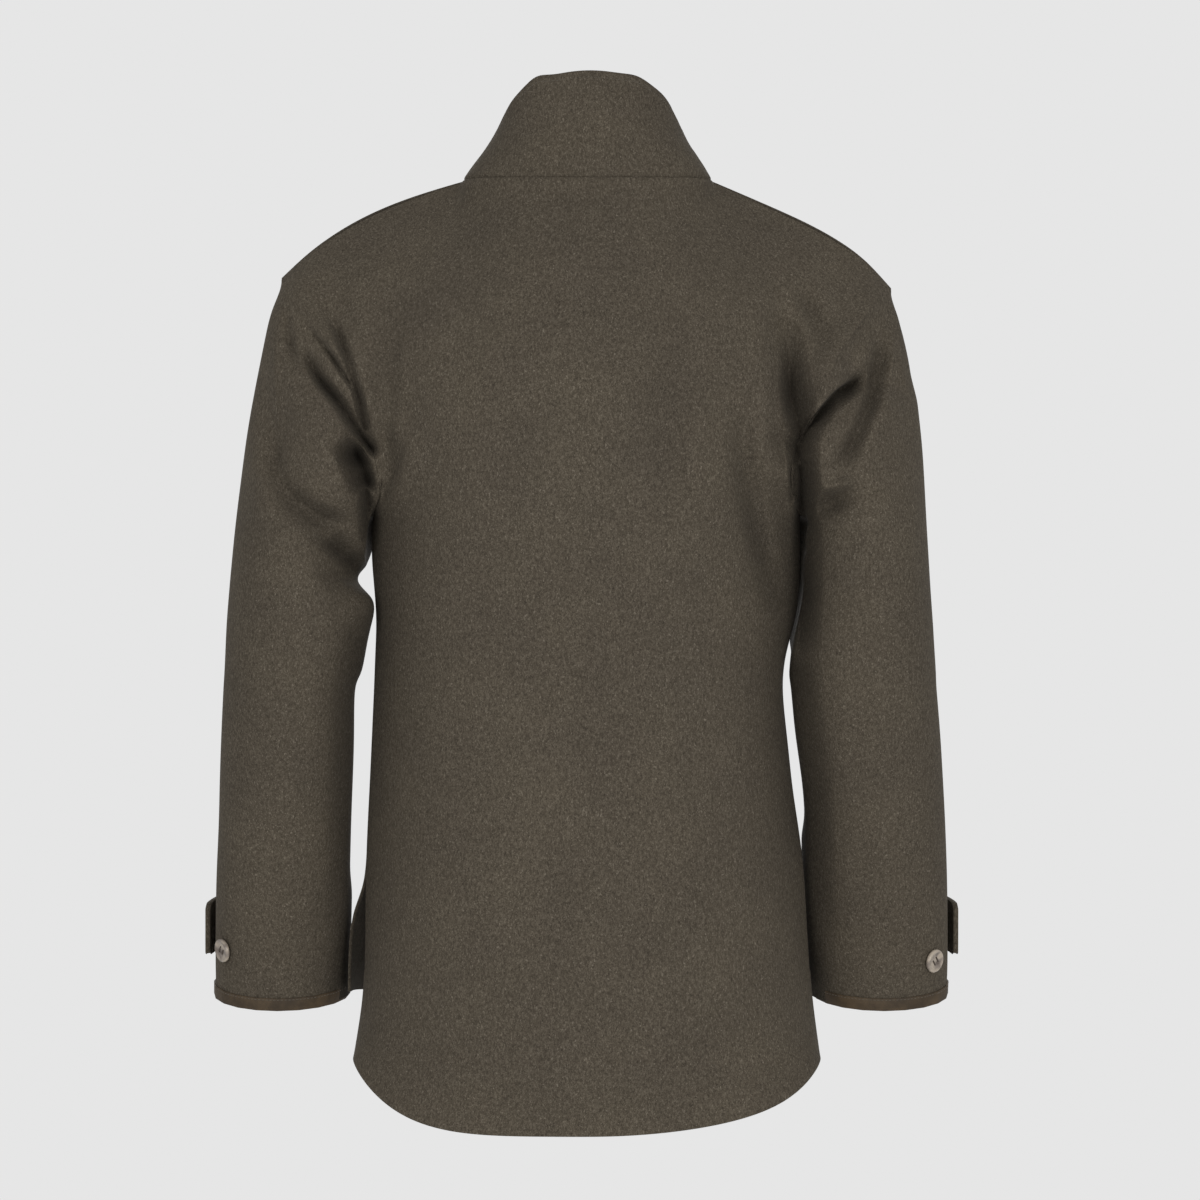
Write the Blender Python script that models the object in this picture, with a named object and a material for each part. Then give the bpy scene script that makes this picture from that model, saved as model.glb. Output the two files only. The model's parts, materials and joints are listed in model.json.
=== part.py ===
# Loden jacket in its worn form, hollow, with no wearer inside.
# Units are metres. +Z is up, +X is the wearer's left, -Y is the front.
# The origin is the middle of the neck opening, level with the seam of the collar at the back.

import math
from collections import namedtuple

import bmesh
import bpy
import numpy as np
from mathutils import Matrix, Vector

# Cloth and seams
CLOTH = 0.0028
COLLAR_CLOTH = 0.0046
TAB_CLOTH = 0.0044
BINDING_LEATHER = 0.0013
SEAM_GAP = 0.0003

# Grid lines of the cut panels, counted from centre to side and from hem to shoulder
NECK_COLUMNS = 5
SHOULDER_COLUMNS = 7
LAP_COLUMNS = 2
LOWER_ROWS = 16
UPPER_ROWS = 10
CAP_ROWS = 9
COLLAR_ROWS = 5

# Neck ring and collar
NECK_HALF_WIDTH = 0.109
NECK_BACK = 0.075
NECK_FRONT = -0.085
NECK_SIDE_RISE = 0.0045
NECK_FRONT_DROP = -0.065
COLLAR_HALF_WIDTH = 0.079
COLLAR_BACK = 0.058
COLLAR_FRONT = -0.074
COLLAR_SIDE_HEIGHT = 0.0515
COLLAR_TILT = 0.041
COLLAR_HOLLOW = 0.001
COLLAR_SHIFT = -0.0025

# Front lap, where the left front lies over the right
LAP = 0.022
TUCK_START = 0.055
TUCK_EASE = 0.0006
TUCK_TOP = -0.070
TUCK_BOTTOM = -0.140

# Side vents: below this level back and front hang apart
VENT_LEVEL = 0.375
VENT_GAP = 0.0030

# Cuffs
BINDING_HEIGHT = 0.0095
BINDING_EASE = 0.0005
TAB_TOP = -0.6225
TAB_MIDDLE = -0.637
TAB_BOTTOM = -0.6665
TAB_SEAT = 0.0008
TAB_LIFT = 0.0045
TAB_LIFT_FROM = -60
TAB_ANGLES = tuple(range(-120, -9, 10)) + (-5, 0)
TAB_END_HEIGHTS = {-5: 0.97, 0: 0.86}
TAB_BUTTON_ANGLE = -40

# Horn buttons
CUFF_BUTTON_RADIUS = 0.0100
FRONT_BUTTON_RADIUS = 0.0125
BUTTON_SIDES = 18
BUTTON_SEAT = 0.0005
FRONT_BUTTON_HEIGHTS = (-0.115, -0.225, -0.335, -0.445, -0.555)
COLLAR_BUTTON_SHARE = 0.5

# How a row of the body turns from its middle to its edge
LEFT, RIGHT = 1, -1
BACK, FRONT = 1, -1
SQUARENESS = 2.5
ARMHOLE_TURN = math.radians(62)
PANEL_RELAX = 30

# A row falls to its edge, and a shoulder to its tip, by a share of one power and the rest of another
Sweep = namedtuple("Sweep", "share power rest_power")
HEM_SWEEP = {LEFT: Sweep(0.0, 2.0, 5.0), RIGHT: Sweep(0.54, 2.0, 8.0)}
SHOULDER_SWEEP = {LEFT: Sweep(0.55, 1.0, 3.0), RIGHT: Sweep(0.72, 1.0, 5.0)}

# Spare buttons at the back of each cuff: column of the sleeve's grid, and height
CuffButton = namedtuple("CuffButton", "column z")
CUFF_BUTTONS = {LEFT: CuffButton(2.0, -0.651), RIGHT: CuffButton(2.4, -0.659)}

# Body sections from the hem (level 0) by the underarm (1) to the shoulder line (2)
Section = namedtuple(
    "Section", "level side_z left right back_z back front_side_z front_left front_right front_z front"
)
SECTIONS = (
    Section(0.00, -0.750, 0.2010, 0.2000, -0.8015, 0.140, -0.695, 0.2060, 0.1880, -0.705, -0.128),
    Section(0.11, -0.700, 0.1935, 0.1935, -0.7450, 0.136, -0.662, 0.2055, 0.1870, -0.667, -0.128),
    Section(0.25, -0.634, 0.1915, 0.1890, -0.6680, 0.132, -0.624, 0.2010, 0.1865, -0.612, -0.128),
    Section(0.34, -0.592, 0.1910, 0.1865, -0.6180, 0.130, -0.592, 0.1910, 0.1865, -0.575, -0.128),
    Section(0.56, -0.490, 0.1866, 0.1737, -0.4950, 0.122, -0.490, 0.1866, 0.1737, -0.478, -0.128),
    Section(0.73, -0.410, 0.1832, 0.1700, -0.4050, 0.120, -0.410, 0.1832, 0.1700, -0.402, -0.130),
    Section(0.78, -0.388, 0.1825, 0.1752, -0.3800, 0.122, -0.388, 0.1825, 0.1752, -0.378, -0.131),
    Section(0.83, -0.365, 0.1823, 0.1808, -0.3550, 0.124, -0.365, 0.1823, 0.1808, -0.355, -0.132),
    Section(0.92, -0.322, 0.1860, 0.1830, -0.3080, 0.129, -0.322, 0.1860, 0.1830, -0.310, -0.134),
    Section(1.00, -0.285, 0.1850, 0.1830, -0.2680, 0.133, -0.285, 0.1850, 0.1830, -0.272, -0.134),
    Section(1.30, -0.240, 0.1750, 0.1750, -0.1850, 0.137, -0.240, 0.1750, 0.1750, -0.203, -0.130),
    Section(1.60, -0.180, 0.1950, 0.1950, -0.1050, 0.126, -0.180, 0.1950, 0.1950, -0.140, -0.117),
    Section(1.82, -0.120, 0.2350, 0.2350, -0.0460, 0.102, -0.120, 0.2350, 0.2350, -0.098, -0.100),
    Section(2.00, -0.079, 0.2643, 0.2625, 0.0000, 0.075, -0.079, 0.2643, 0.2625, -0.065, -0.085),
)

# Armhole seams, from the underarm to the shoulder tip
Armhole = namedtuple("Armhole", "level left right left_z right_z back front")
ARMHOLES = (
    Armhole(1.00, 0.1850, 0.1830, -0.285, -0.285, 0.000, 0.000),
    Armhole(1.11, 0.1795, 0.1775, -0.274, -0.275, 0.036, -0.034),
    Armhole(1.25, 0.1750, 0.1730, -0.247, -0.250, 0.064, -0.060),
    Armhole(1.42, 0.1790, 0.1760, -0.211, -0.215, 0.081, -0.075),
    Armhole(1.60, 0.1985, 0.1950, -0.169, -0.176, 0.083, -0.077),
    Armhole(1.78, 0.2270, 0.2230, -0.126, -0.134, 0.064, -0.061),
    Armhole(1.91, 0.2510, 0.2475, -0.093, -0.102, 0.034, -0.034),
    Armhole(2.00, 0.2643, 0.2625, -0.079, -0.088, 0.000, 0.000),
)

# Sleeve rings from the cuff up to the underarm; x is measured from the centre of the jacket
SleeveRing = namedtuple("SleeveRing", "z left_out left_in right_out right_in middle half_depth")
SLEEVE_RINGS = (
    SleeveRing(-0.6985, 0.3245, 0.2091, 0.3130, 0.1975, -0.046, 0.054),
    SleeveRing(-0.678, 0.3240, 0.2088, 0.3135, 0.1962, -0.042, 0.055),
    SleeveRing(-0.637, 0.3230, 0.2075, 0.3130, 0.1930, -0.032, 0.057),
    SleeveRing(-0.595, 0.3218, 0.2060, 0.3118, 0.1900, -0.022, 0.060),
    SleeveRing(-0.553, 0.3192, 0.2045, 0.3095, 0.1880, -0.012, 0.062),
    SleeveRing(-0.512, 0.3168, 0.2025, 0.3066, 0.1849, -0.003, 0.065),
    SleeveRing(-0.470, 0.3145, 0.2008, 0.3033, 0.1789, 0.005, 0.068),
    SleeveRing(-0.434, 0.3125, 0.1996, 0.2998, 0.1750, 0.010, 0.071),
    SleeveRing(-0.419, 0.3115, 0.1944, 0.2990, 0.1735, 0.011, 0.072),
    SleeveRing(-0.398, 0.3105, 0.1900, 0.2977, 0.1760, 0.011, 0.074),
    SleeveRing(-0.378, 0.3095, 0.1857, 0.2965, 0.1806, 0.011, 0.076),
    SleeveRing(-0.357, 0.3080, 0.1850, 0.2952, 0.1850, 0.009, 0.077),
    SleeveRing(-0.340, 0.3065, 0.1970, 0.2942, 0.1862, 0.008, 0.079),
    SleeveRing(-0.326, 0.3055, 0.1925, 0.2935, 0.1865, 0.006, 0.080),
)
CUFF_END = SLEEVE_RINGS[0].z
CAP_END = SLEEVE_RINGS[-1].z
CAP_OUT = {LEFT: 0.030, RIGHT: 0.050}

# Largest folds: troughs along a line, placed as seen straight from the back (1) or front (-1)
Fold = namedtuple("Fold", "face x0 z0 x1 z1 half_width depth")
FOLDS = (
    Fold(1, 0.2215, -0.105, 0.1748, -0.233, 0.013, 0.007),
    Fold(1, 0.2387, -0.147, 0.1752, -0.240, 0.013, 0.009),
    Fold(1, 0.1600, -0.105, 0.1700, -0.215, 0.020, 0.004),
    Fold(1, 0.2638, -0.209, 0.2440, -0.277, 0.014, 0.005),
    Fold(1, 0.2440, -0.277, 0.2100, -0.294, 0.014, 0.006),
    Fold(1, 0.2248, -0.298, 0.2050, -0.340, 0.014, 0.006),
    Fold(1, -0.1660, -0.122, -0.1740, -0.221, 0.014, 0.009),
    Fold(1, -0.2374, -0.165, -0.1740, -0.227, 0.013, 0.009),
    Fold(1, -0.2508, -0.120, -0.2126, -0.238, 0.013, 0.006),
    Fold(1, -0.2265, -0.265, -0.2000, -0.282, 0.013, 0.006),
    Fold(1, -0.0777, -0.105, -0.0706, -0.297, 0.022, 0.003),
    Fold(1, -0.1097, -0.160, -0.1508, -0.334, 0.024, 0.004),
    Fold(-1, 0.2300, -0.130, 0.1760, -0.235, 0.014, 0.007),
    Fold(-1, 0.2250, -0.300, 0.2900, -0.350, 0.016, 0.006),
    Fold(-1, -0.2250, -0.140, -0.1740, -0.230, 0.014, 0.007),
    Fold(-1, -0.2150, -0.310, -0.2750, -0.370, 0.016, 0.006),
    Fold(-1, 0.1300, -0.170, 0.1050, -0.330, 0.024, 0.004),
    Fold(-1, -0.1200, -0.180, -0.1350, -0.340, 0.024, 0.004),
)
FOLD_FACE_FADE = 0.030
FOLD_SWELL = 0.30

# Button profile: share of the radius, height above the cloth
BUTTON_PROFILE = (
    (0.00, 0.0000),
    (0.88, 0.0000),
    (1.00, 0.0012),
    (1.00, 0.0028),
    (0.86, 0.0040),
    (0.64, 0.0030),
    (0.00, 0.0028),
)

LODEN = (0.058, 0.049, 0.038)
BINDING_BROWN = (0.075, 0.048, 0.026)
HORN = (0.30, 0.24, 0.19)


def smooth(table, column, at):
    """A column's value at a key, on a smooth curve through the rows of a table."""
    keys = np.array([row[0] for row in table])
    values = np.array([getattr(row, column) for row in table])
    slopes = np.gradient(values, keys)
    at = np.clip(np.asarray(at, float), keys[0], keys[-1])
    i = np.clip(np.searchsorted(keys, at, side="right") - 1, 0, len(keys) - 2)
    span = keys[i + 1] - keys[i]
    t = (at - keys[i]) / span
    rise = t * t * (3 - 2 * t)
    start = t * (1 - t) ** 2 * span * slopes[i]
    end = t * t * (t - 1) * span * slopes[i + 1]
    return values[i] * (1 - rise) + values[i + 1] * rise + start + end


def ramp(value, low, high):
    """0 below low, 1 above high, smooth between."""
    t = np.clip((np.asarray(value, float) - low) / (high - low), 0, 1)
    return t * t * (3 - 2 * t)


def pick(side, left, right):
    return left if side == LEFT else right


# Neck ring and collar form

def collar_point(angle, share):
    """A point of the collar: angle 0 at the nape, share 0 at the neck seam and 1 at the top edge."""
    across, along = math.sin(angle), math.cos(angle)
    neck_z = NECK_SIDE_RISE * across ** 2
    if along < 0:
        neck_z += NECK_FRONT_DROP * along ** 2
    neck_middle = (NECK_BACK + NECK_FRONT) / 2
    neck = np.array([NECK_HALF_WIDTH * across, neck_middle + (NECK_BACK - neck_middle) * along, neck_z])
    top_middle = (COLLAR_BACK + COLLAR_FRONT) / 2
    top = np.array([
        COLLAR_SHIFT + COLLAR_HALF_WIDTH * across,
        top_middle + (COLLAR_BACK - top_middle) * along,
        COLLAR_SIDE_HEIGHT + COLLAR_TILT * along,
    ])
    hollow = 4 * share * (1 - share) * COLLAR_HOLLOW
    return neck + (top - neck) * share - hollow * np.array([across, along, 0.0])


# Body rows

def edge_point(face, side, level):
    """Where a row of the body meets the side seam, the vent or the armhole."""
    if level > 1:
        x = smooth(ARMHOLES, pick(side, "left", "right"), level)
        y = smooth(ARMHOLES, pick(face, "back", "front"), level)
        z = smooth(ARMHOLES, pick(side, "left_z", "right_z"), level)
    elif face == BACK:
        x = smooth(SECTIONS, pick(side, "left", "right"), level)
        y = 0.0
        z = smooth(SECTIONS, "side_z", level)
    else:
        x = smooth(SECTIONS, pick(side, "front_left", "front_right"), level)
        y = -VENT_GAP * float(ramp(VENT_LEVEL - level, 0.0, 0.06))
        z = smooth(SECTIONS, "front_side_z", level)
    if VENT_LEVEL <= level <= 1:
        x = smooth(SECTIONS, pick(side, "left", "right"), level)
        z = smooth(SECTIONS, "side_z", level)
    return np.array([side * float(x), float(y), float(z)])


def centre_point(face, level):
    """Where a row crosses the middle of the back or of the front."""
    y = smooth(SECTIONS, pick(face, "back", "front"), level)
    z = smooth(SECTIONS, pick(face, "back_z", "front_z"), level)
    return np.array([0.0, float(y), float(z)])


def turn_row(centre, edge, level, sweep, count):
    """Evenly spaced points of a row that turns from the middle to its edge."""
    upper = float(ramp(level, 0.95, 1.50))
    turn = math.radians(90) + (ARMHOLE_TURN - math.radians(90)) * upper
    power = 2 / (SQUARENESS + (2 - SQUARENESS) * upper)
    angle = np.linspace(0, turn, 240)
    last = math.cos(turn) ** power if turn < math.radians(89.9) else 0.0
    across = np.sin(angle) ** power / math.sin(turn) ** power
    depth = (np.maximum(np.cos(angle), 0) ** power - last) / (1 - last)
    fall = 1 - sweep.share * across ** sweep.power - (1 - sweep.share) * across ** sweep.rest_power
    dense = np.stack([
        edge[0] * across,
        edge[1] + (centre[1] - edge[1]) * depth,
        edge[2] + (centre[2] - edge[2]) * fall,
    ], axis=1)
    along = np.concatenate([[0], np.cumsum(np.linalg.norm(np.diff(dense, axis=0), axis=1))])
    at = np.linspace(0, along[-1], count + 1)
    return np.stack([np.interp(at, along, dense[:, k]) for k in range(3)], axis=1)


def top_row(face, side):
    """Neckline from the middle to the shoulder, then the shoulder seam out to its tip."""
    start = 0.0 if face == BACK else math.pi
    angles = np.linspace(start, math.pi / 2, NECK_COLUMNS + 1)
    neck = [collar_point(side * a, 0.0) for a in angles]
    tip = edge_point(face, side, 2.0)
    base = neck[-1]
    sweep = SHOULDER_SWEEP[side]
    seam = []
    for t in np.linspace(0, 1, SHOULDER_COLUMNS + 1)[1:]:
        fall = sweep.share * t ** sweep.power + (1 - sweep.share) * t ** sweep.rest_power
        seam.append(np.array([
            base[0] + (tip[0] - base[0]) * t,
            base[1] + (tip[1] - base[1]) * t,
            base[2] + (tip[2] - base[2]) * fall,
        ]))
    return np.array(neck + seam)


def half_panel(face, side):
    """Half of the back or of the front: rows from the hem up, columns from the middle out."""
    count = NECK_COLUMNS + SHOULDER_COLUMNS
    levels = np.concatenate([
        np.linspace(0, 1, LOWER_ROWS + 1),
        np.linspace(1, 2, UPPER_ROWS + 1)[1:],
    ])
    rows = [
        turn_row(centre_point(face, s), edge_point(face, side, s), s, HEM_SWEEP[side], count)
        for s in levels
    ]
    grid = np.array(rows)
    correction = top_row(face, side) - grid[-1]
    share = np.clip(levels - 1, 0, 1) ** 3
    return grid + share[:, None, None] * correction[None]


def relaxed_halves(face):
    """Both halves of the back or front, eased as cloth eases between its seams and edges."""
    left, right = half_panel(face, LEFT), half_panel(face, RIGHT)
    grid = np.concatenate([left[:, ::-1], right[:, 1:]], axis=1)
    for _ in range(PANEL_RELAX):
        around = grid[:-2, 1:-1] + grid[2:, 1:-1] + grid[1:-1, :-2] + grid[1:-1, 2:]
        grid[1:-1, 1:-1] += 0.5 * (around / 4 - grid[1:-1, 1:-1])
    middle = left.shape[1] - 1
    return {LEFT: grid[:, middle::-1], RIGHT: grid[:, middle:]}


# Sleeves

def sleeve_section(side, z):
    out = float(smooth(SLEEVE_RINGS, pick(side, "left_out", "right_out"), z))
    inner = float(smooth(SLEEVE_RINGS, pick(side, "left_in", "right_in"), z))
    middle = float(smooth(SLEEVE_RINGS, "middle", z))
    half_depth = float(smooth(SLEEVE_RINGS, "half_depth", z))
    step = 0.012
    above = float(smooth(SLEEVE_RINGS, "middle", min(z + step, CAP_END)))
    below = float(smooth(SLEEVE_RINGS, "middle", max(z - step, CUFF_END)))
    lean = math.atan2(above - below, min(z + step, CAP_END) - max(z - step, CUFF_END))
    return (out + inner) / 2, (out - inner) / 2, middle, half_depth, lean


def sleeve_point(side, z, angle, lift=0.0):
    """A point of the sleeve's ring at z: angle 0 outside, a quarter turn at the back."""
    centre, half_width, middle, half_depth, lean = sleeve_section(side, z)
    reach = (half_depth + lift) * math.sin(angle)
    return np.array([
        side * (centre + (half_width + lift) * math.cos(angle)),
        middle + reach * math.cos(lean),
        z - reach * math.sin(lean),
    ])


def sleeve_angles():
    return [math.pi * k / UPPER_ROWS for k in range(2 * UPPER_ROWS)]


def sleeve_grid(side, armhole):
    """Rows from the cuff up to the armhole seam, columns all round."""
    angles = sleeve_angles()
    arm = [[sleeve_point(side, ring.z, a) for a in angles] for ring in SLEEVE_RINGS]
    end = np.array(arm[-1])
    axis = np.array([sleeve_point(side, CAP_END - 0.01, a) for a in angles]) - end
    axis /= np.linalg.norm(axis, axis=1)[:, None]
    chord = end - armhole
    length = np.linalg.norm(chord, axis=1)[:, None]
    cosine = np.cos(angles)[:, None]
    leave = chord * (0.65 + 0.35 * cosine) + side * CAP_OUT[side] * cosine ** 2 * np.array([[1.0, 0.0, 0.0]])
    arrive = axis * length * 0.9
    cap = []
    for t in np.linspace(1, 0, CAP_ROWS + 1)[1:]:
        rise = t * t * (3 - 2 * t)
        cap.append(
            armhole * (1 - rise) + end * rise
            + leave * t * (1 - t) ** 2 + arrive * t * t * (t - 1)
        )
    return np.concatenate([np.array(arm), np.array(cap)])


# Panels put together

def lap_columns(half, other):
    """The columns of a front that pass the middle and lie on the other front."""
    side = np.sign(half[LOWER_ROWS, -1, 0])
    columns = []
    for j in range(LAP_COLUMNS, 0, -1):
        x = LAP * j / LAP_COLUMNS
        column = [
            [-side * x, np.interp(x, np.abs(row[:, 0]), row[:, 1]), np.interp(x, np.abs(row[:, 0]), row[:, 2])]
            for row in other
        ]
        columns.append(column)
    return np.concatenate([np.array(columns).transpose(1, 0, 2), half], axis=1)


def tuck(points):
    """Moves the right front and collar end in behind the left where the two lap."""
    amount = ramp(points[..., 2], TUCK_BOTTOM, TUCK_TOP)
    depth = CLOTH + (COLLAR_CLOTH - CLOTH) * amount + TUCK_EASE
    moved = points.copy()
    front = ramp(-points[..., 1], 0.0, 0.02)
    moved[..., 1] += depth * front * ramp(points[..., 0], -TUCK_START, -LAP - 0.006)
    return moved


def collar_grid(front_left, back, front_right):
    """Rows from the neck seam up; the first row is the neckline of the panels."""
    lap = math.asin(LAP / NECK_HALF_WIDTH)
    left = front_left[-1, :LAP_COLUMNS + NECK_COLUMNS + 1]
    right = front_right[-1, :LAP_COLUMNS + NECK_COLUMNS + 1][::-1]
    middle = back[-1, SHOULDER_COLUMNS + 1:SHOULDER_COLUMNS + 2 * NECK_COLUMNS]
    seam = np.concatenate([left, middle, right])
    laps = [math.pi + lap * j / LAP_COLUMNS for j in range(LAP_COLUMNS, 0, -1)]
    turn = list(np.linspace(math.pi, -math.pi, 4 * NECK_COLUMNS + 1))
    angles = laps + turn + [-a for a in reversed(laps)]
    rows = [seam]
    for share in np.linspace(0, 1, COLLAR_ROWS + 1)[1:]:
        row = np.array([collar_point(a, share) for a in angles])
        half = len(row) // 2
        row[half:] = tuck(row[half:])
        rows.append(row)
    return np.array(rows)


def grid_normals(grid, closed, outward_from):
    """Area-weighted normals at the points of a grid, pointing away from its middle line."""
    wrapped = np.concatenate([grid, grid[:, :1]], axis=1) if closed else grid
    a = wrapped[1:, 1:] - wrapped[:-1, :-1]
    b = wrapped[1:, :-1] - wrapped[:-1, 1:]
    face = np.cross(a, b)
    normals = np.zeros_like(wrapped)
    normals[:-1, :-1] += face
    normals[1:, :-1] += face
    normals[:-1, 1:] += face
    normals[1:, 1:] += face
    if closed:
        normals[:, 0] += normals[:, -1]
        normals = normals[:, :-1]
    away = grid - outward_from
    if (normals * away).sum() < 0:
        normals = -normals
    return normals


def middle_line(name, grid):
    if name.startswith("sleeve"):
        return grid.mean(axis=1, keepdims=True)
    line = grid.copy()
    line[..., :2] = 0.0
    return line


def shared_normals(panels):
    """Unit normals of all panels; points on a common seam get one normal."""
    found = {name: grid_normals(g, name.startswith("sleeve"), middle_line(name, g)) for name, g in panels.items()}
    total = {}
    for name, grid in panels.items():
        for p, n in zip(grid.reshape(-1, 3), found[name].reshape(-1, 3)):
            key = tuple(np.round(p * 1e5).astype(int))
            total[key] = total.get(key, 0) + n / max(np.linalg.norm(n), 1e-12)
    units = {}
    for name, grid in panels.items():
        sums = np.array([total[tuple(np.round(p * 1e5).astype(int))] for p in grid.reshape(-1, 3)])
        units[name] = (sums / np.linalg.norm(sums, axis=1)[:, None]).reshape(grid.shape)
    return units


def fold_depth(points):
    """How far each point sinks into the folds; less than nothing on the swell beside one."""
    sink = np.zeros(points.shape[:-1])
    flat = points[..., [0, 2]]
    for fold in FOLDS:
        start = np.array([fold.x0, fold.z0])
        run = np.array([fold.x1, fold.z1]) - start
        t = np.clip(((flat - start) @ run) / (run @ run), 0, 1)
        off = np.linalg.norm(flat - start - t[..., None] * run, axis=-1) / fold.half_width
        form = np.exp(-off ** 2) - FOLD_SWELL * np.exp(-((off - 1.8) / 0.7) ** 2)
        sink += fold.depth * form * ramp(fold.face * points[..., 1], 0.0, FOLD_FACE_FADE)
    return sink


def drawn_in(edge, neighbour, closed):
    """An edge of a grid moved into its panel, square to the seam."""
    if closed:
        along = np.roll(edge, -1, axis=0) - np.roll(edge, 1, axis=0)
    else:
        along = np.gradient(edge, axis=0)
    along /= np.linalg.norm(along, axis=1)[:, None]
    into = neighbour - edge
    into -= (into * along).sum(axis=1)[:, None] * along
    return edge + into / np.linalg.norm(into, axis=1)[:, None] * SEAM_GAP / 2


def eased(grid, closed):
    """The grid with its edges drawn in, so that panels stand a seam gap apart."""
    out = grid.copy()
    out[0] = drawn_in(grid[0], grid[1], closed)
    out[-1] = drawn_in(grid[-1], grid[-2], closed)
    if not closed:
        out[:, 0] = drawn_in(out[:, 0], grid[:, 1], False)
        out[:, -1] = drawn_in(out[:, -1], grid[:, -2], False)
    return out


# Blender objects

def material(name, colour, roughness):
    made = bpy.data.materials.new(name)
    made.use_nodes = True
    shader = made.node_tree.nodes["Principled BSDF"]
    shader.inputs["Base Color"].default_value = (*colour, 1.0)
    shader.inputs["Roughness"].default_value = roughness
    return made


def put(name, bm, colour, roughness):
    """Makes a node from a closed bmesh."""
    bmesh.ops.recalc_face_normals(bm, faces=bm.faces)
    mesh = bpy.data.meshes.new(name)
    bm.to_mesh(mesh)
    bm.free()
    mesh.materials.append(material(name, colour, roughness))
    made = bpy.data.objects.new(name, mesh)
    jacket.objects.link(made)
    return made


def rim(bm, a, b, in_a, in_b):
    """A strip of a wall's edge, split the same way in both pieces that meet at a seam."""
    slant = Vector((0.37, 0.21, 1.0))
    if a.co.dot(slant) < b.co.dot(slant):
        a, b, in_a, in_b = b, a, in_b, in_a
    bm.faces.new((a, b, in_b))
    bm.faces.new((a, in_b, in_a))


def wall(name, outer, inner, closed, colour, roughness):
    """A closed wall between an outer and an inner grid of the same size."""
    bm = bmesh.new()
    rows, columns = outer.shape[:2]
    skins = [[[bm.verts.new(p) for p in row] for row in grid] for grid in (outer, inner)]
    last = columns if closed else columns - 1
    for skin in skins:
        for i in range(rows - 1):
            for j in range(last):
                k = (j + 1) % columns
                bm.faces.new((skin[i][j], skin[i][k], skin[i + 1][k], skin[i + 1][j]))
    out, into = skins
    for i in (0, rows - 1):
        for j in range(last):
            k = (j + 1) % columns
            rim(bm, out[i][j], out[i][k], into[i][j], into[i][k])
    if not closed:
        for j in (0, columns - 1):
            for i in range(rows - 1):
                rim(bm, out[i][j], out[i + 1][j], into[i][j], into[i + 1][j])
    return put(name, bm, colour, roughness)


def ring_solid(name, loops, colour, roughness):
    """A closed ring from loops of points that go once round its section."""
    bm = bmesh.new()
    made = [[bm.verts.new(p) for p in loop] for loop in loops]
    for a, b in zip(made, made[1:] + made[:1]):
        for j in range(len(a)):
            k = (j + 1) % len(a)
            bm.faces.new((a[j], a[k], b[k], b[j]))
    return put(name, bm, colour, roughness)


def button(name, place, normal, radius):
    """A dished button turned round its own axis, seated flat on the cloth."""
    bm = bmesh.new()
    points = [bm.verts.new((share * radius, 0.0, height)) for share, height in BUTTON_PROFILE]
    edges = [bm.edges.new(pair) for pair in zip(points, points[1:])]
    bmesh.ops.spin(
        bm, geom=points + edges, cent=(0, 0, 0), axis=(0, 0, 1),
        angle=math.tau, steps=BUTTON_SIDES, use_merge=True,
    )
    bmesh.ops.remove_doubles(bm, verts=bm.verts, dist=1e-6)
    turn = Vector((0, 0, 1)).rotation_difference(Vector(normal)).to_matrix().to_4x4()
    seat = Vector(place) + Vector(normal) * BUTTON_SEAT
    bmesh.ops.transform(bm, matrix=Matrix.Translation(seat) @ turn, verts=bm.verts)
    return put(name, bm, HORN, 0.35)


def binding(name, side):
    """A folded strip round the cuff edge: outside, under and inside, with the sleeve in its slot."""
    near, far = BINDING_EASE, BINDING_EASE + BINDING_LEATHER
    top = CUFF_END + BINDING_HEIGHT
    foot = CUFF_END - BINDING_EASE - BINDING_LEATHER
    slot = CUFF_END - BINDING_EASE
    section = (
        (top, far),
        (foot, far),
        (foot, -CLOTH - far),
        (top, -CLOTH - far),
        (top, -CLOTH - near),
        (slot, -CLOTH - near),
        (slot, near),
        (top, near),
    )
    loops = []
    for z, lift in section:
        inside = max(z, CUFF_END)
        loop = [sleeve_point(side, inside, a, lift) for a in sleeve_angles()]
        lean = sleeve_section(side, inside)[4]
        down = (z - inside) * np.array([0.0, math.sin(lean), math.cos(lean)])
        loops.append([p + down for p in loop])
    return ring_solid(name, loops, BINDING_BROWN, 0.45)


def tab_lift(angle):
    return TAB_SEAT + TAB_LIFT * float(ramp(angle, TAB_LIFT_FROM, TAB_ANGLES[-1]))


def tab(name, side):
    """A strap round the front and outside of the cuff, standing off at its free end."""
    middle = (TAB_TOP + TAB_BOTTOM) / 2
    skins = []
    for thickness in (TAB_CLOTH, 0.0):
        rows = []
        for z in (TAB_BOTTOM, TAB_MIDDLE, TAB_TOP):
            row = []
            for angle in TAB_ANGLES:
                at = middle + (z - middle) * TAB_END_HEIGHTS.get(angle, 1.0)
                row.append(sleeve_point(side, at, math.radians(angle), tab_lift(angle) + thickness))
            rows.append(row)
        skins.append(np.array(rows))
    return wall(name, skins[0], skins[1], False, LODEN, 0.95)


def grid_spot(grid, row_at, column_at):
    """A point on the flat faces of a grid, by its row and column as fractions."""
    i, j = int(row_at), int(column_at)
    u, v = row_at - i, column_at - j
    wide = grid.shape[1]
    a, b = grid[i, j], grid[i, (j + 1) % wide]
    c, d = grid[i + 1, j], grid[i + 1, (j + 1) % wide]
    return (a * (1 - v) + b * v) * (1 - u) + (c * (1 - v) + d * v) * u


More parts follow.
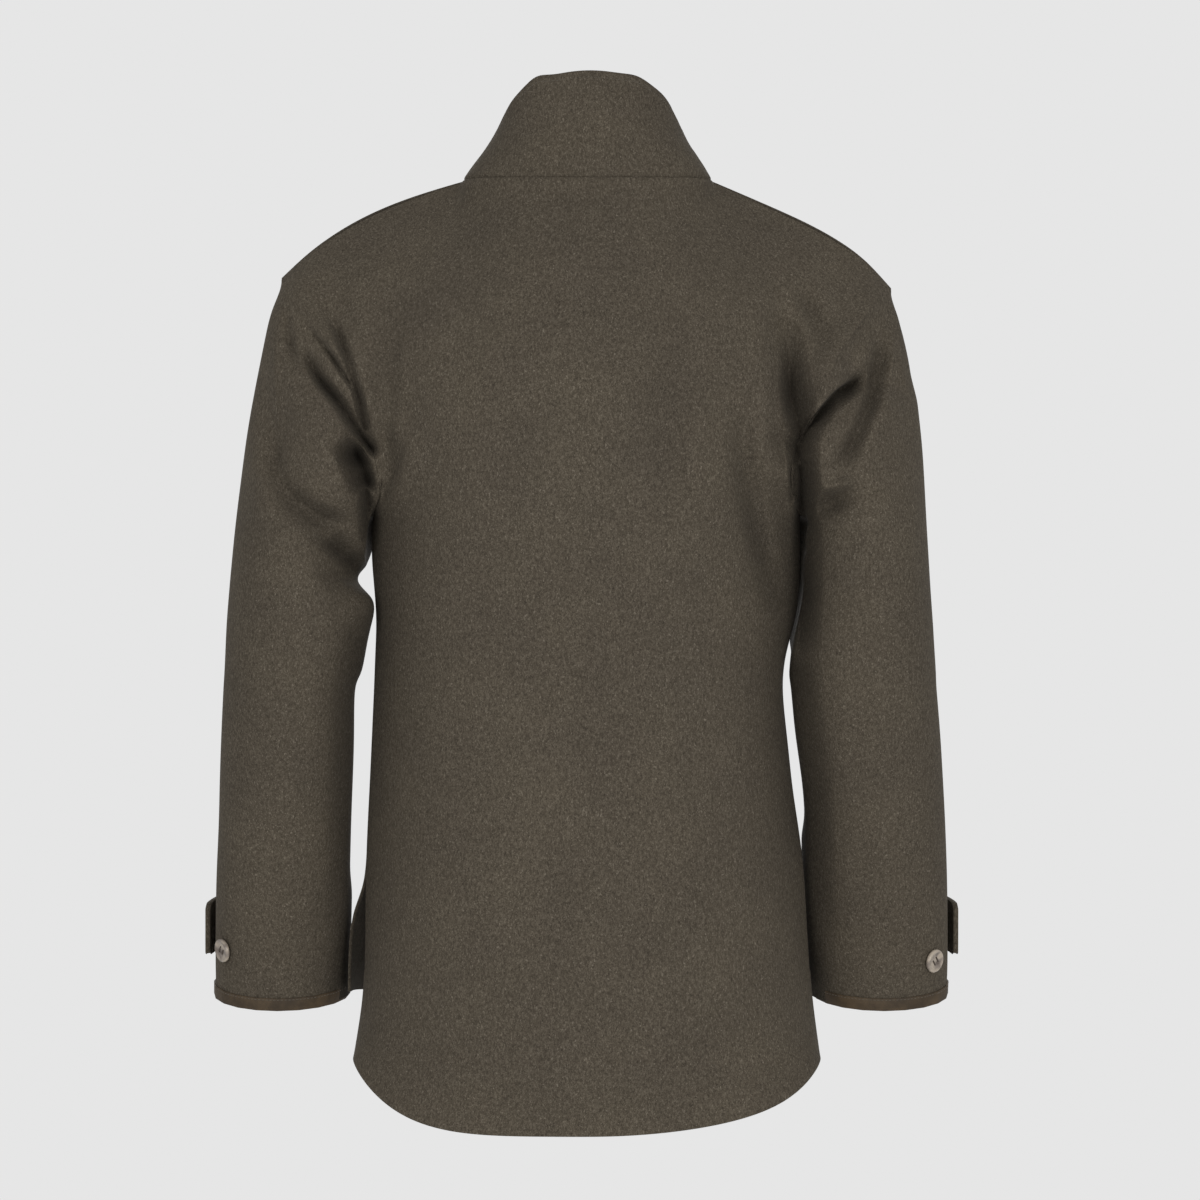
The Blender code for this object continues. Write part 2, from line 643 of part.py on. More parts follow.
def sleeve_normal(side, z, angle):
    """The direction straight out of the sleeve's form."""
    step = 0.004
    around = sleeve_point(side, z, angle + 0.05) - sleeve_point(side, z, angle - 0.05)
    along = sleeve_point(side, z + step, angle) - sleeve_point(side, z - step, angle)
    normal = np.cross(around, along)
    out = sleeve_point(side, z, angle, 0.01) - sleeve_point(side, z, angle)
    if normal @ out < 0:
        normal = -normal
    return normal / np.linalg.norm(normal)


def main():
    backs, fronts = relaxed_halves(BACK), relaxed_halves(FRONT)
    panels = {}
    panels["back"] = np.concatenate([backs[LEFT][:, ::-1], backs[RIGHT][:, 1:]], axis=1)
    panels["front_left"] = lap_columns(fronts[LEFT], fronts[RIGHT])
    panels["front_right"] = tuck(lap_columns(fronts[RIGHT], fronts[LEFT]))
    panels["collar"] = collar_grid(panels["front_left"], panels["back"], panels["front_right"])
    for name, side in (("sleeve_left", LEFT), ("sleeve_right", RIGHT)):
        back_edge = backs[side][LOWER_ROWS:, -1]
        front_edge = fronts[side][LOWER_ROWS:, -1]
        armhole = np.concatenate([back_edge[::-1], front_edge[1:-1]])
        panels[name] = sleeve_grid(side, armhole)

    normals = shared_normals(panels)
    panels = {n: g - normals[n] * fold_depth(g)[..., None] for n, g in panels.items()}
    normals = shared_normals(panels)

    for name, grid in panels.items():
        closed = name.startswith("sleeve")
        thickness = np.full(grid.shape[0], CLOTH)
        if name == "collar":
            thickness[1:] = COLLAR_CLOTH
        inner = grid - normals[name] * thickness[:, None, None]
        wall(name, eased(grid, closed), eased(inner, closed), closed, LODEN, 0.95)

    for word, side, spot in (("left", LEFT, CUFF_BUTTONS[LEFT]), ("right", RIGHT, CUFF_BUTTONS[RIGHT])):
        binding("cuff_binding_" + word, side)
        tab("cuff_tab_" + word, side)
        sleeve = panels["sleeve_" + word]
        ring = np.searchsorted([r.z for r in SLEEVE_RINGS], spot.z) - 1
        share = (spot.z - SLEEVE_RINGS[ring].z) / (SLEEVE_RINGS[ring + 1].z - SLEEVE_RINGS[ring].z)
        place = grid_spot(sleeve, ring + share, spot.column)
        angle = math.pi * spot.column / UPPER_ROWS
        normal = sleeve_normal(side, spot.z, angle)
        button("cuff_button_" + word, place, normal, CUFF_BUTTON_RADIUS)
        angle = math.radians(TAB_BUTTON_ANGLE)
        middle = (TAB_TOP + TAB_BOTTOM) / 2
        lift = tab_lift(TAB_BUTTON_ANGLE) + TAB_CLOTH
        place = sleeve_point(side, middle, angle, lift)
        button("tab_button_" + word, place, sleeve_normal(side, middle, angle), CUFF_BUTTON_RADIUS)

    column = panels["front_left"][:, LAP_COLUMNS]
    column_normals = normals["front_left"][:, LAP_COLUMNS]
    for number, z in enumerate(FRONT_BUTTON_HEIGHTS, 1):
        place = [np.interp(z, column[:, 2], column[:, k]) for k in range(3)]
        normal = np.array([np.interp(z, column[:, 2], column_normals[:, k]) for k in range(3)])
        button(f"front_button_{number}", place, normal / np.linalg.norm(normal), FRONT_BUTTON_RADIUS)
    collar = panels["collar"]
    row = COLLAR_ROWS * COLLAR_BUTTON_SHARE
    place = grid_spot(collar, row, LAP_COLUMNS)
    normal = normals["collar"][int(row), LAP_COLUMNS] + normals["collar"][int(row) + 1, LAP_COLUMNS]
    button("collar_button", place, normal / np.linalg.norm(normal), CUFF_BUTTON_RADIUS)


for old in list(bpy.data.objects):
    bpy.data.objects.remove(old)
jacket = bpy.data.collections.new("Loden jacket")
bpy.context.scene.collection.children.link(jacket)
main()
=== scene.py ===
# %% [markdown]
# # A loden jacket, seen from behind
# The jacket hangs as if it were worn, hollow, with its arms down. The CAD model holds every cut
# piece as a thin wall at its real size. This lesson turns those walls into cloth: softer surfaces,
# listed creases, sewn edges, horn buttons and a felted wool finish.

# %% Load the CAD model as a fixed frame
import json
import math
from collections import namedtuple

import bmesh
import bpy
import numpy as np
from mathutils import Matrix, Vector, kdtree, noise
from mathutils.bvhtree import BVHTree

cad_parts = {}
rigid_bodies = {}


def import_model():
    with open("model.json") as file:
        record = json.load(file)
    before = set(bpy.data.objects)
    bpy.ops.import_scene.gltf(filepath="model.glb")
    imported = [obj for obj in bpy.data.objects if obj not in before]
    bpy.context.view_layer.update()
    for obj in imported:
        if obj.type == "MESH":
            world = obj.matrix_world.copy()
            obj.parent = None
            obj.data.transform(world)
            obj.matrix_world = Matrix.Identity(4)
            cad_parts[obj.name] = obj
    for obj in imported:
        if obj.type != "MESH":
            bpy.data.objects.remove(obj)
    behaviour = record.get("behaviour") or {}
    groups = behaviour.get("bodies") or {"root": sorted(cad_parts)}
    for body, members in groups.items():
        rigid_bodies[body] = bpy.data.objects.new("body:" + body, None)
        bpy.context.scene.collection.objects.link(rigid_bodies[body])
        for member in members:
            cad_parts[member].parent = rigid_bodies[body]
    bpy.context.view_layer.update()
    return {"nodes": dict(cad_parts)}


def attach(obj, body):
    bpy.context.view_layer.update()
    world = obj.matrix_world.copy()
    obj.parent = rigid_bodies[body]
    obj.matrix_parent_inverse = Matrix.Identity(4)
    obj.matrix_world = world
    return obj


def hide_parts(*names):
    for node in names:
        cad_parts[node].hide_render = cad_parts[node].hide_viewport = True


for leftover in list(bpy.data.objects):
    bpy.data.objects.remove(leftover)
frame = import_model()
MM = 0.001
print("CAD pieces:", len(frame["nodes"]))

# %% [markdown]
# ## The camera
# The photograph was taken level with the middle of the back, from a few metres away. A long lens
# from the same distance gives the same small amount of perspective, so the sleeves look as wide
# as they do in the picture.

# %% Camera behind the jacket
PHOTO_SIDE = 1200
FOCAL_PIXELS = 4060
EYE = (-0.0108, 3.5, -0.357)

camera = bpy.data.objects.new("camera", bpy.data.cameras.new("camera"))
camera.data.sensor_width = 36
camera.data.lens = camera.data.sensor_width * FOCAL_PIXELS / PHOTO_SIDE
camera.location = EYE
camera.rotation_euler = (math.pi / 2, 0, math.pi)
bpy.context.scene.collection.objects.link(camera)
bpy.context.scene.camera = camera
print("lens in mm:", round(camera.data.lens, 1))

# %% [markdown]
# ## Shader maths as plain sums
# A finish is a small network of nodes. Wiring each Math node by hand hides the idea, so one class
# wraps a socket: sums on it add Math nodes, and its `node` method adds any other kind.


# %% A socket that can be added and multiplied
class Wire:
    """One socket of a material's node tree."""

    def __init__(self, tree, socket=None):
        self.tree = tree
        self.socket = socket

    def node(self, kind, settings=None, values=None, out=0):
        """Adds a node: its settings first, then the values or links of its sockets."""
        made = self.tree.nodes.new(kind)
        for name, value in (settings or {}).items():
            if name == "stops":
                self.set_stops(made.color_ramp.elements, value)
            else:
                setattr(made, name, value)
        for name, value in (values or {}).items():
            if isinstance(value, Wire):
                self.tree.links.new(value.socket, made.inputs[name])
            else:
                made.inputs[name].default_value = value
        return Wire(self.tree, made.outputs[out])

    @staticmethod
    def set_stops(elements, stops):
        while len(elements) < len(stops):
            elements.new(0.5)
        for element, (position, colour) in zip(elements, stops):
            element.position = position
            element.color = (*colour, 1)

    def maths(self, operation, first, second):
        return self.node("ShaderNodeMath", {"operation": operation}, {0: first, 1: second})

    def __add__(self, other):
        return self.maths("ADD", self, other)

    def __radd__(self, other):
        return self.maths("ADD", other, self)

    def __mul__(self, other):
        return self.maths("MULTIPLY", self, other)

    def __rmul__(self, other):
        return self.maths("MULTIPLY", other, self)

    def above(self, low, high):
        """0 below low, 1 above high, with a soft step between."""
        return self.node("ShaderNodeMapRange", {"interpolation_type": "SMOOTHSTEP"},
                         {"Value": self, "From Min": low, "From Max": high})

    def blend(self, first, second):
        """Two colours mixed by this value."""
        return self.node("ShaderNodeMix", {"data_type": "RGBA"},
                         {0: self, 6: colour(first), 7: colour(second)}, out=2)

    def cells(self, scale, detail=2.0, rough=0.5):
        """Soft noise read at this place."""
        return self.node("ShaderNodeTexNoise", {},
                         {"Vector": self, "Scale": scale, "Detail": detail, "Roughness": rough})


def colour(value):
    return value if isinstance(value, Wire) else (*value, 1)


def finish(name, **fixed):
    """A new material, its Principled shader's fixed sockets set, and a wire to build with."""
    material = bpy.data.materials.new(name)
    material.use_nodes = True
    shader = material.node_tree.nodes["Principled BSDF"]
    for socket, value in fixed.items():
        shader.inputs[socket.replace("_", " ")].default_value = value
    return material, shader, Wire(material.node_tree)


def feed(shader, wire, **sockets):
    for socket, value in sockets.items():
        wire.tree.links.new(value.socket, shader.inputs[socket.replace("_", " ")])


def bumped(wire, height, strength, depth):
    return wire.node("ShaderNodeBump", {}, {"Height": height, "Strength": strength, "Distance": depth})


# %% [markdown]
# ## Loden
# Loden is a wool cloth that is milled until its weave closes under a short nap. Close up it is a
# heather: dark, olive and pale fibres lie side by side. Three sizes of noise give that: single
# fibres, small tufts and slow changes of tone. The nap scatters a little light at the edges, which
# is what sheen is for. Deep in a fold the colour is painted darker with the depth of the crease,
# which every sheet carries on its points: painted shade on top of the shade the real creases get.

# %% The cloth finish
WOOL_DARK = (0.040, 0.0330, 0.0243)
WOOL_OLIVE = (0.083, 0.0690, 0.0505)
WOOL_PALE = (0.150, 0.1290, 0.0990)
FLECK = (0.250, 0.2180, 0.1730)
# Painted shade: the dark colour the cloth fades to deep in creases, on leaned sleeve sides and inside the
# jacket.
WOOL_PAINTED_SHADE = (0.007, 0.0058, 0.0046)
PAINTED_SHADE_FADE = 36 * MM
NAP_STRETCH = (1.0, 1.0, 0.62)
FIBRE_SCALE = 1350
TUFT_SCALE = 520
FLECK_SCALE = 760
TONE_SCALE = 13


def loden_finish():
    material, shader, wire = finish(
        "loden", Sheen_Weight=0.04, Sheen_Roughness=0.45, Sheen_Tint=(0.80, 0.74, 0.64, 1),
        Specular_IOR_Level=0.18)
    place = wire.node("ShaderNodeTexCoord", out="Object")
    nap = wire.node("ShaderNodeMapping", {}, {"Vector": place, "Scale": NAP_STRETCH})
    fibre = nap.cells(FIBRE_SCALE, detail=3.0, rough=0.62)
    tuft = nap.cells(TUFT_SCALE, detail=2.0, rough=0.55)
    heather = fibre * 0.62 + tuft * 0.38
    shade = heather.node("ShaderNodeValToRGB", {"stops": (
        (0.34, WOOL_DARK), (0.50, WOOL_OLIVE), (0.66, WOOL_PALE))}, {"Fac": heather})
    fleck = nap.cells(FLECK_SCALE, detail=1.0, rough=0.4).above(0.66, 0.74) * 0.5
    flecked = fleck.blend(shade, FLECK)
    slow = place.cells(TONE_SCALE, detail=3.0, rough=0.55)
    tone = slow.node("ShaderNodeValToRGB", {"stops": (
        (0.30, (0.91, 0.90, 0.90)), (0.70, (1.06, 1.05, 1.03)))}, {"Fac": slow})
    toned = wire.node("ShaderNodeMix", {"data_type": "RGBA", "blend_type": "MULTIPLY"},
                      {0: 1.0, 6: flecked, 7: tone}, out=2)
    # Painted shade: the colour fades toward the painted shade colour with the depth kept on the points, so
    # creases, leaned sleeve sides and the inside come out darker than the light alone makes them.
    fold = wire.node("ShaderNodeAttribute", {"attribute_name": "fold"}, out="Fac")
    light_left = wire.maths("POWER", math.e, fold * (-1 / PAINTED_SHADE_FADE))
    feed(shader, wire, Base_Color=light_left.blend(WOOL_PAINTED_SHADE, toned), Roughness=0.84 + fibre * 0.14,
         Normal=bumped(wire, fibre * 0.6 + tuft * 0.4, 0.55, 0.7 * MM))
    return material


loden = loden_finish()
print("cloth finish:", loden.name)

# %% [markdown]
# ## Binding, horn and thread
# The cuff edges are bound with a smooth brown strip, finer in grain than the cloth. The buttons are
# cut from horn, with cloudy bands of cream, grey and brown under a polish. Thread is a tone
# lighter than the wool so that the lines of sewing just show.

# %% The small finishes
BINDING_DARK = (0.043, 0.029, 0.016)
BINDING_LIGHT = (0.092, 0.062, 0.033)
HORN_CREAM = (0.47, 0.40, 0.32)
HORN_GREY = (0.24, 0.20, 0.17)
HORN_BROWN = (0.070, 0.045, 0.030)
THREAD_LIGHT = (0.130, 0.112, 0.083)
THREAD_DARK = (0.048, 0.036, 0.026)
GRAIN_SCALE = 1500
WEAR_SCALE = 60
CLOUD_SCALE = 75
VEIN_SCALE = 34
POLISH_SCALE = 700
PLY_SCALE = 2400


def binding_finish():
    material, shader, wire = finish("binding", Specular_IOR_Level=0.35)
    place = wire.node("ShaderNodeTexCoord", out="Object")
    grain = place.cells(GRAIN_SCALE, detail=3.0, rough=0.6)
    worn = place.cells(WEAR_SCALE, detail=3.0, rough=0.6)
    light = (worn * 0.6 + grain * 0.4).above(0.35, 0.65)
    feed(shader, wire, Base_Color=light.blend(BINDING_DARK, BINDING_LIGHT), Roughness=0.50 + grain * 0.20,
         Normal=bumped(wire, grain, 0.35, 0.3 * MM))
    return material


def horn_finish():
    material, shader, wire = finish("horn", Coat_Weight=0.35, Coat_Roughness=0.12)
    place = wire.node("ShaderNodeTexCoord", out="Object")
    cloud = place.cells(CLOUD_SCALE, detail=3.0, rough=0.55)
    vein = place.node("ShaderNodeTexWave", {"wave_type": "BANDS", "bands_direction": "DIAGONAL"},
                      {"Vector": place, "Scale": VEIN_SCALE, "Distortion": 7.0, "Detail": 3.0,
                       "Detail Scale": 1.4}, out="Fac")
    mixed = cloud * 0.85 + vein * 0.15
    shade = mixed.node("ShaderNodeValToRGB", {"stops": (
        (0.30, HORN_BROWN), (0.42, HORN_GREY), (0.57, HORN_CREAM))}, {"Fac": mixed})
    feed(shader, wire, Base_Color=shade, Roughness=0.26 + cloud * 0.18,
         Normal=bumped(wire, place.cells(POLISH_SCALE), 0.10, 0.2 * MM))
    return material


def thread_finish(name, dark, light):
    material, shader, wire = finish(name, Sheen_Weight=0.2)
    place = wire.node("ShaderNodeTexCoord", out="Object")
    ply = place.cells(PLY_SCALE)
    feed(shader, wire, Base_Color=ply.blend(dark, light), Roughness=0.60 + ply * 0.25,
         Normal=bumped(wire, ply, 0.4, 0.2 * MM))
    return material


binding = binding_finish()
horn = horn_finish()
top_thread = thread_finish("top_thread", WOOL_OLIVE, THREAD_LIGHT)
button_thread = thread_finish("button_thread", HORN_BROWN, THREAD_DARK)
print("finishes:", [m.name for m in (loden, binding, horn, top_thread, button_thread)])

# %% [markdown]
# ## From a CAD wall to a sheet
# Each CAD panel is a closed wall, two skins and a thin rim. Cloth is easier to crease as one skin,
# so a copy is merged, its rim and inner skin are taken off, and its triangles are joined back into
# quads that subdivide cleanly. The thickness comes back at the very end.

# %% The outer skin of a panel
RIM_ANGLE = math.radians(50)
THIN_RIM = 3.0 * MM
THICK_RIM = 4.8 * MM
WELD = 1e-5


def wall_copy(node):
    """A merged copy of a CAD node's loose triangles."""
    bm = bmesh.new()
    bm.from_mesh(frame["nodes"][node].data)
    bmesh.ops.remove_doubles(bm, verts=bm.verts, dist=WELD)
    return bm


def skins(bm, rim_width):
    """The faces in groups that no rim face parts, the largest area first. A rim face has a short edge,
    as long as the wall is thick."""
    left = {f for f in bm.faces if min(e.calc_length() for e in f.edges) > rim_width}
    groups = []
    while left:
        group = [left.pop()]
        for face in group:
            fresh = {f for edge in face.edges for f in edge.link_faces} & left
            left -= fresh
            group.extend(fresh)
        groups.append(group)
    return sorted(groups, key=lambda g: -sum(f.calc_area() for f in g))


def outer_skin(node, rim_width):
    """The outside of a wall: on a wall that bends round the body it is the larger skin."""
    bm = wall_copy(node)
    outside = set(skins(bm, rim_width)[0])
    bmesh.ops.delete(bm, geom=[f for f in bm.faces if f not in outside], context="FACES")
    bmesh.ops.join_triangles(bm, faces=bm.faces, angle_face_threshold=math.pi,
                             angle_shape_threshold=math.pi)
    return bm


def as_object(name, bm):
    mesh = bpy.data.meshes.new(name)
    bm.to_mesh(mesh)
    bm.free()
    piece = bpy.data.objects.new(name, mesh)
    bpy.context.scene.collection.objects.link(piece)
    return piece


def settle(piece):
    """Applies the modifiers of a piece to its mesh."""
    depsgraph = bpy.context.evaluated_depsgraph_get()
    done = bpy.data.meshes.new_from_object(piece.evaluated_get(depsgraph))
    piece.modifiers.clear()
    old = piece.data
    piece.data = done
    bpy.data.meshes.remove(old)
    done.name = piece.name
    return piece


def points_of(mesh):
    co = np.empty(len(mesh.vertices) * 3)
    mesh.vertices.foreach_get("co", co)
    return co.reshape(-1, 3)


def normals_of(mesh):
    normal = np.empty(len(mesh.vertices) * 3)
    mesh.vertex_normals.foreach_get("vector", normal)
    return normal.reshape(-1, 3)


def move_points(mesh, co):
    mesh.vertices.foreach_set("co", co.ravel())
    mesh.update()


def shade_smooth(mesh):
    mesh.polygons.foreach_set("use_smooth", [True] * len(mesh.polygons))


def round_off(bm, width):
    """Bevels the edges where a wall turns sharply."""
    sharp = [e for e in bm.edges if len(e.link_faces) == 2 and e.calc_face_angle() > RIM_ANGLE]
    bmesh.ops.bevel(bm, geom=sharp, offset=width, offset_type="OFFSET", affect="EDGES",
                    segments=2, profile=0.5, clamp_overlap=True, material=-1)


# %% [markdown]
# ## Softening
# Cloth has no facets. Subdivision rounds them off, but it would also pull every edge and corner in, so
# the coarse sheet is first pushed out by what it is going to lose.

# %% Smooth sheets that keep their size
FIT_ROUNDS = 6
CORNER_TURN = math.radians(28)


def pin_corners(mesh):
    """Marks the points where the edge of a sheet turns, so that smoothing keeps them sharp."""
    bm = bmesh.new()
    bm.from_mesh(mesh)
    pins = np.zeros(len(bm.verts))
    for vert in bm.verts:
        arms = [(e.other_vert(vert).co - vert.co).normalized() for e in vert.link_edges if e.is_boundary]
        if len(arms) == 2 and arms[0].angle(-arms[1]) > CORNER_TURN:
            pins[vert.index] = 1.0
    bm.free()
    mesh.attributes.new("crease_vert", "FLOAT", "POINT").data.foreach_set("value", pins)


def softened(piece, levels):
    """Catmull-Clark rounds the CAD facets off. It also shrinks a sheet, so the coarse points are
    pushed out first, until the smooth sheet passes through the places they had."""
    goal = points_of(piece.data)
    pin_corners(piece.data)
    smooth = piece.modifiers.new("soft", "SUBSURF")
    smooth.levels = smooth.render_levels = levels
    smooth.boundary_smooth = "PRESERVE_CORNERS"
    for _ in range(FIT_ROUNDS):
        depsgraph = bpy.context.evaluated_depsgraph_get()
        rounded = piece.evaluated_get(depsgraph)
        got = points_of(rounded.data)[:len(goal)]
        move_points(piece.data, points_of(piece.data) + goal - got)
    return settle(piece)


# %% [markdown]
# ## Creases, one by one
# Thick wool folds in few, heavy creases, and the photograph shows each one: deep ones that run to
# the underarms, a broken curve over each elbow, long soft hollows down the back. A simulation
# would put them anywhere, so each crease is a row of a table: its line in millimetres across and
# up, how deep it goes (a ridge is negative), how wide its two flanks are, how sharp its bottom is, how
# much of its length fades in and out, and how far the cloth beside it hangs over. The sides that the
# photograph hides get similar ones.

# %% The crease table
Crease = namedtuple("Crease", "pieces side line deep left right edge fade hang", defaults=(0,))
BOTH_LEFT = ("back", "sleeve_left")
BOTH_RIGHT = ("back", "sleeve_right")
FRONT_LEFT = ("front_left", "sleeve_left")
FRONT_RIGHT = ("front_right", "sleeve_right")
LEFT_SLEEVE = ("sleeve_left",)
RIGHT_SLEEVE = ("sleeve_right",)
LEFT_FRONT = ("front_left",)
RIGHT_FRONT = ("front_right",)
WHOLE_BACK = ("back",)
CREASES = (
    # Left arm from behind
    Crease(BOTH_LEFT, "back", ((250, -134), (237, -153), (227, -170), (213, -187), (201, -204),
           (190, -221), (177, -236)), 21, 7, 9, 0.6, (0.45, 0.1)),
    Crease(BOTH_LEFT, "back", ((224, -104), (210, -136), (203, -153), (198, -170), (193, -187),
           (190, -204), (188, -221)), 12, 6, 8, 0.5, (0.35, 0.1)),
    Crease(BOTH_LEFT, "back", ((244, -119), (222, -143), (207, -165), (197, -180), (188, -202)),
           8, 4, 5, 0.7, (0.35, 0.3)),
    Crease(BOTH_LEFT, "back", ((205, -216), (196, -234), (190, -248), (186, -262), (185, -276)),
           40, 19, 11, 0.3, (0.3, 0.35)),
    Crease(BOTH_LEFT, "back", ((190, -246), (188, -272), (187, -312)), 26, 8, 9, 0.3, (0.3, 0.3)),
    Crease(WHOLE_BACK, "back", ((157, -100), (168, -139), (170, -186), (168, -223)),
           6, 20, 16, 0.0, (0.5, 0.4)),
    Crease(LEFT_SLEEVE, "back", ((258, -104), (253, -139), (240, -166)), 7, 7, 8, 0.5, (0.3, 0.4)),
    Crease(LEFT_SLEEVE, "back", ((264, -104), (266, -168), (258, -240)), -3, 9, 8, 0.4, (0.3, 0.4)),
    Crease(LEFT_SLEEVE, "back", ((265, -205), (264, -238), (259, -255), (250, -270), (229, -284),
           (213, -290), (201, -295)), 10, 16, 13, 0.3, (0.3, 0.2)),
    Crease(LEFT_SLEEVE, "back", ((232, -298), (214, -314), (192, -336)), 22, 10, 22, 0.6, (0.5, 0.0)),
    Crease(LEFT_SLEEVE, "back", ((186, -366), (190, -400), (196, -440), (198, -500), (200, -560),
           (203, -640), (204, -700)), 18, 24, 10, 0.3, (0.1, 0.3)),
    # Right arm from behind
    Crease(BOTH_RIGHT, "back", ((-165, -104), (-171, -132), (-172, -170), (-174, -196), (-178, -221),
           (-180, -246), (-182, -276)), 29, 12, 18, 0.4, (0.6, 0.05)),
    Crease(BOTH_RIGHT, "back", ((-178, -214), (-181, -240), (-183, -272), (-184, -306), (-184, -340),
           (-182, -388), (-180, -430)), 36, 9, 17, 0.4, (0.16, 0.4)),
    Crease(RIGHT_SLEEVE, "back", ((-173, -392), (-174, -430), (-178, -470), (-183, -510), (-185, -550),
           (-188, -620), (-190, -700)), 22, 10, 27, 0.3, (0.1, 0.3)),
    Crease(BOTH_RIGHT, "back", ((-246, -159), (-227, -171), (-215, -178), (-205, -187), (-191, -204),
           (-182, -221), (-176, -229)), 29, 8, 15, 0.6, (0.4, 0.1), 5),
    Crease(RIGHT_SLEEVE, "back", ((-254, -118), (-252, -146), (-246, -170), (-241, -187), (-234, -204),
           (-226, -221), (-216, -238), (-203, -250)), 15, 11, 11, 0.4, (0.3, 0.3)),
    Crease(RIGHT_SLEEVE, "back", ((-193, -254), (-201, -262), (-214, -260), (-227, -252)),
           -7, 8, 8, 0.3, (0.3, 0.3)),
    Crease(RIGHT_SLEEVE, "back", ((-186, -284), (-200, -277), (-215, -270), (-227, -260)),
           12, 14, 14, 0.2, (0.3, 0.5)),
    Crease(WHOLE_BACK, "back", ((-174, -77), (-192, -114), (-198, -137), (-190, -164)),
           7, 13, 13, 0.1, (0.4, 0.4)),
    Crease(RIGHT_SLEEVE, "back", ((-267, -133), (-278, -188), (-282, -227)), -2, 6, 5, 0.6, (0.3, 0.4)),
    # Middle of the back
    Crease(WHOLE_BACK, "back", ((-74, -97), (-69, -222), (-79, -297)), 3.2, 26, 22, 0.0, (0.4, 0.4)),
    Crease(WHOLE_BACK, "back", ((-125, -176), (-138, -269), (-157, -343), (-166, -385)),
           8, 18, 16, 0.1, (0.4, 0.3)),
    Crease(WHOLE_BACK, "back", ((66, -17), (10, -19), (-45, -17)), 2.4, 11, 12, 0.1, (0.4, 0.4)),
    # Left arm from the front
    Crease(FRONT_LEFT, "front", ((236, -140), (214, -178), (194, -208), (180, -236)),
           6.0, 7, 12, 0.7, (0.4, 0.0)),
    Crease(FRONT_LEFT, "front", ((216, -112), (203, -150), (189, -196), (181, -230)),
           4.0, 8, 7, 0.5, (0.4, 0.1)),
    Crease(LEFT_SLEEVE, "front", ((222, -292), (246, -318), (272, -334), (296, -338)),
           4.5, 11, 9, 0.4, (0.2, 0.4)),
    Crease(LEFT_SLEEVE, "front", ((214, -330), (236, -352), (262, -366)), 3.4, 10, 9, 0.4, (0.3, 0.5)),
    Crease(LEFT_SLEEVE, "front", ((232, -258), (252, -282), (276, -292)), 2.8, 10, 9, 0.3, (0.3, 0.5)),
    # Right arm from the front
    Crease(FRONT_RIGHT, "front", ((-232, -146), (-212, -182), (-192, -212), (-178, -236)),
           6.0, 12, 7, 0.7, (0.4, 0.0)),
    Crease(FRONT_RIGHT, "front", ((-214, -116), (-200, -156), (-188, -200), (-179, -230)),
           4.0, 7, 8, 0.5, (0.4, 0.1)),
    Crease(RIGHT_SLEEVE, "front", ((-212, -300), (-236, -328), (-262, -346), (-284, -350)),
           4.5, 9, 11, 0.4, (0.2, 0.4)),
    Crease(RIGHT_SLEEVE, "front", ((-206, -342), (-230, -364), (-256, -376)), 3.2, 9, 10, 0.4, (0.3, 0.5)),
    Crease(RIGHT_SLEEVE, "front", ((-224, -264), (-244, -288), (-266, -300)), 2.6, 9, 10, 0.3, (0.3, 0.5)),
    # Chest and skirts of the front
    Crease(LEFT_FRONT, "front", ((132, -160), (118, -240), (104, -330)), 2.6, 20, 18, 0.0, (0.4, 0.5)),
    Crease(RIGHT_FRONT, "front", ((-124, -170), (-128, -250), (-138, -340)), 2.6, 18, 20, 0.0, (0.4, 0.5)),
    Crease(LEFT_FRONT, "front", ((88, -420), (96, -520), (92, -640)), 2.0, 22, 24, 0.0, (0.5, 0.4)),
    Crease(RIGHT_FRONT, "front", ((-92, -440), (-104, -540), (-96, -650)), 2.0, 24, 22, 0.0, (0.5, 0.4)),
)
print("creases:", len(CREASES))

# %% [markdown]
# ## How a crease moves the cloth
# A crease is pressed straight into its side of the jacket, so the two cloths of a seam go down together
# and the seam stays shut. Where creases meet, the deepest one counts, because cloth folds only once at
# one place. The depth is also kept on the points as an attribute, from which the finish paints shade into
# the crease.

# %% Troughs, lips and overhangs
Wave = namedtuple("Wave", "turns shift share")
WAVES = (Wave(7.3, 1.7, 0.6), Wave(17.1, 2.9, 0.4))
LINE_STEPS = 14
SHORTEST_FADE = 1e-4
LIP = 0.09
LIP_MOST = 10
LIP_AT = 1.35
LIP_WIDTH = 0.40
UNEVEN = 0.22
HANG_FADE = (1.4, 3.6)
SIDE_FADE = (0.0, 0.062)
SHADE_FADE = (-0.030, 0.005)
ARM_HEIGHTS = (-0.75, -0.50, -0.35)
ARM_MIDDLES = (-0.029, -0.010, 0.0)


def smooth_step(low, high, value):
    t = np.clip((value - low) / (high - low), 0.0, 1.0)
    return t * t * (3 - 2 * t)


def flowing_line(points):
    """A Catmull-Rom curve through the points of a crease, in metres."""
    p = np.array(points, float) * MM
    ends = np.vstack([2 * p[0] - p[1], p, 2 * p[-1] - p[-2]])
    t = np.linspace(0, 1, LINE_STEPS, endpoint=False)[:, None]
    parts = []
    for a, b, c, d in zip(ends, ends[1:], ends[2:], ends[3:]):
        parts.append(0.5 * (2 * b + (c - a) * t + (2 * a - 5 * b + 4 * c - d) * t ** 2
                            + (3 * b - 3 * c + d - a) * t ** 3))
    return np.vstack(parts + [p[-1:]])


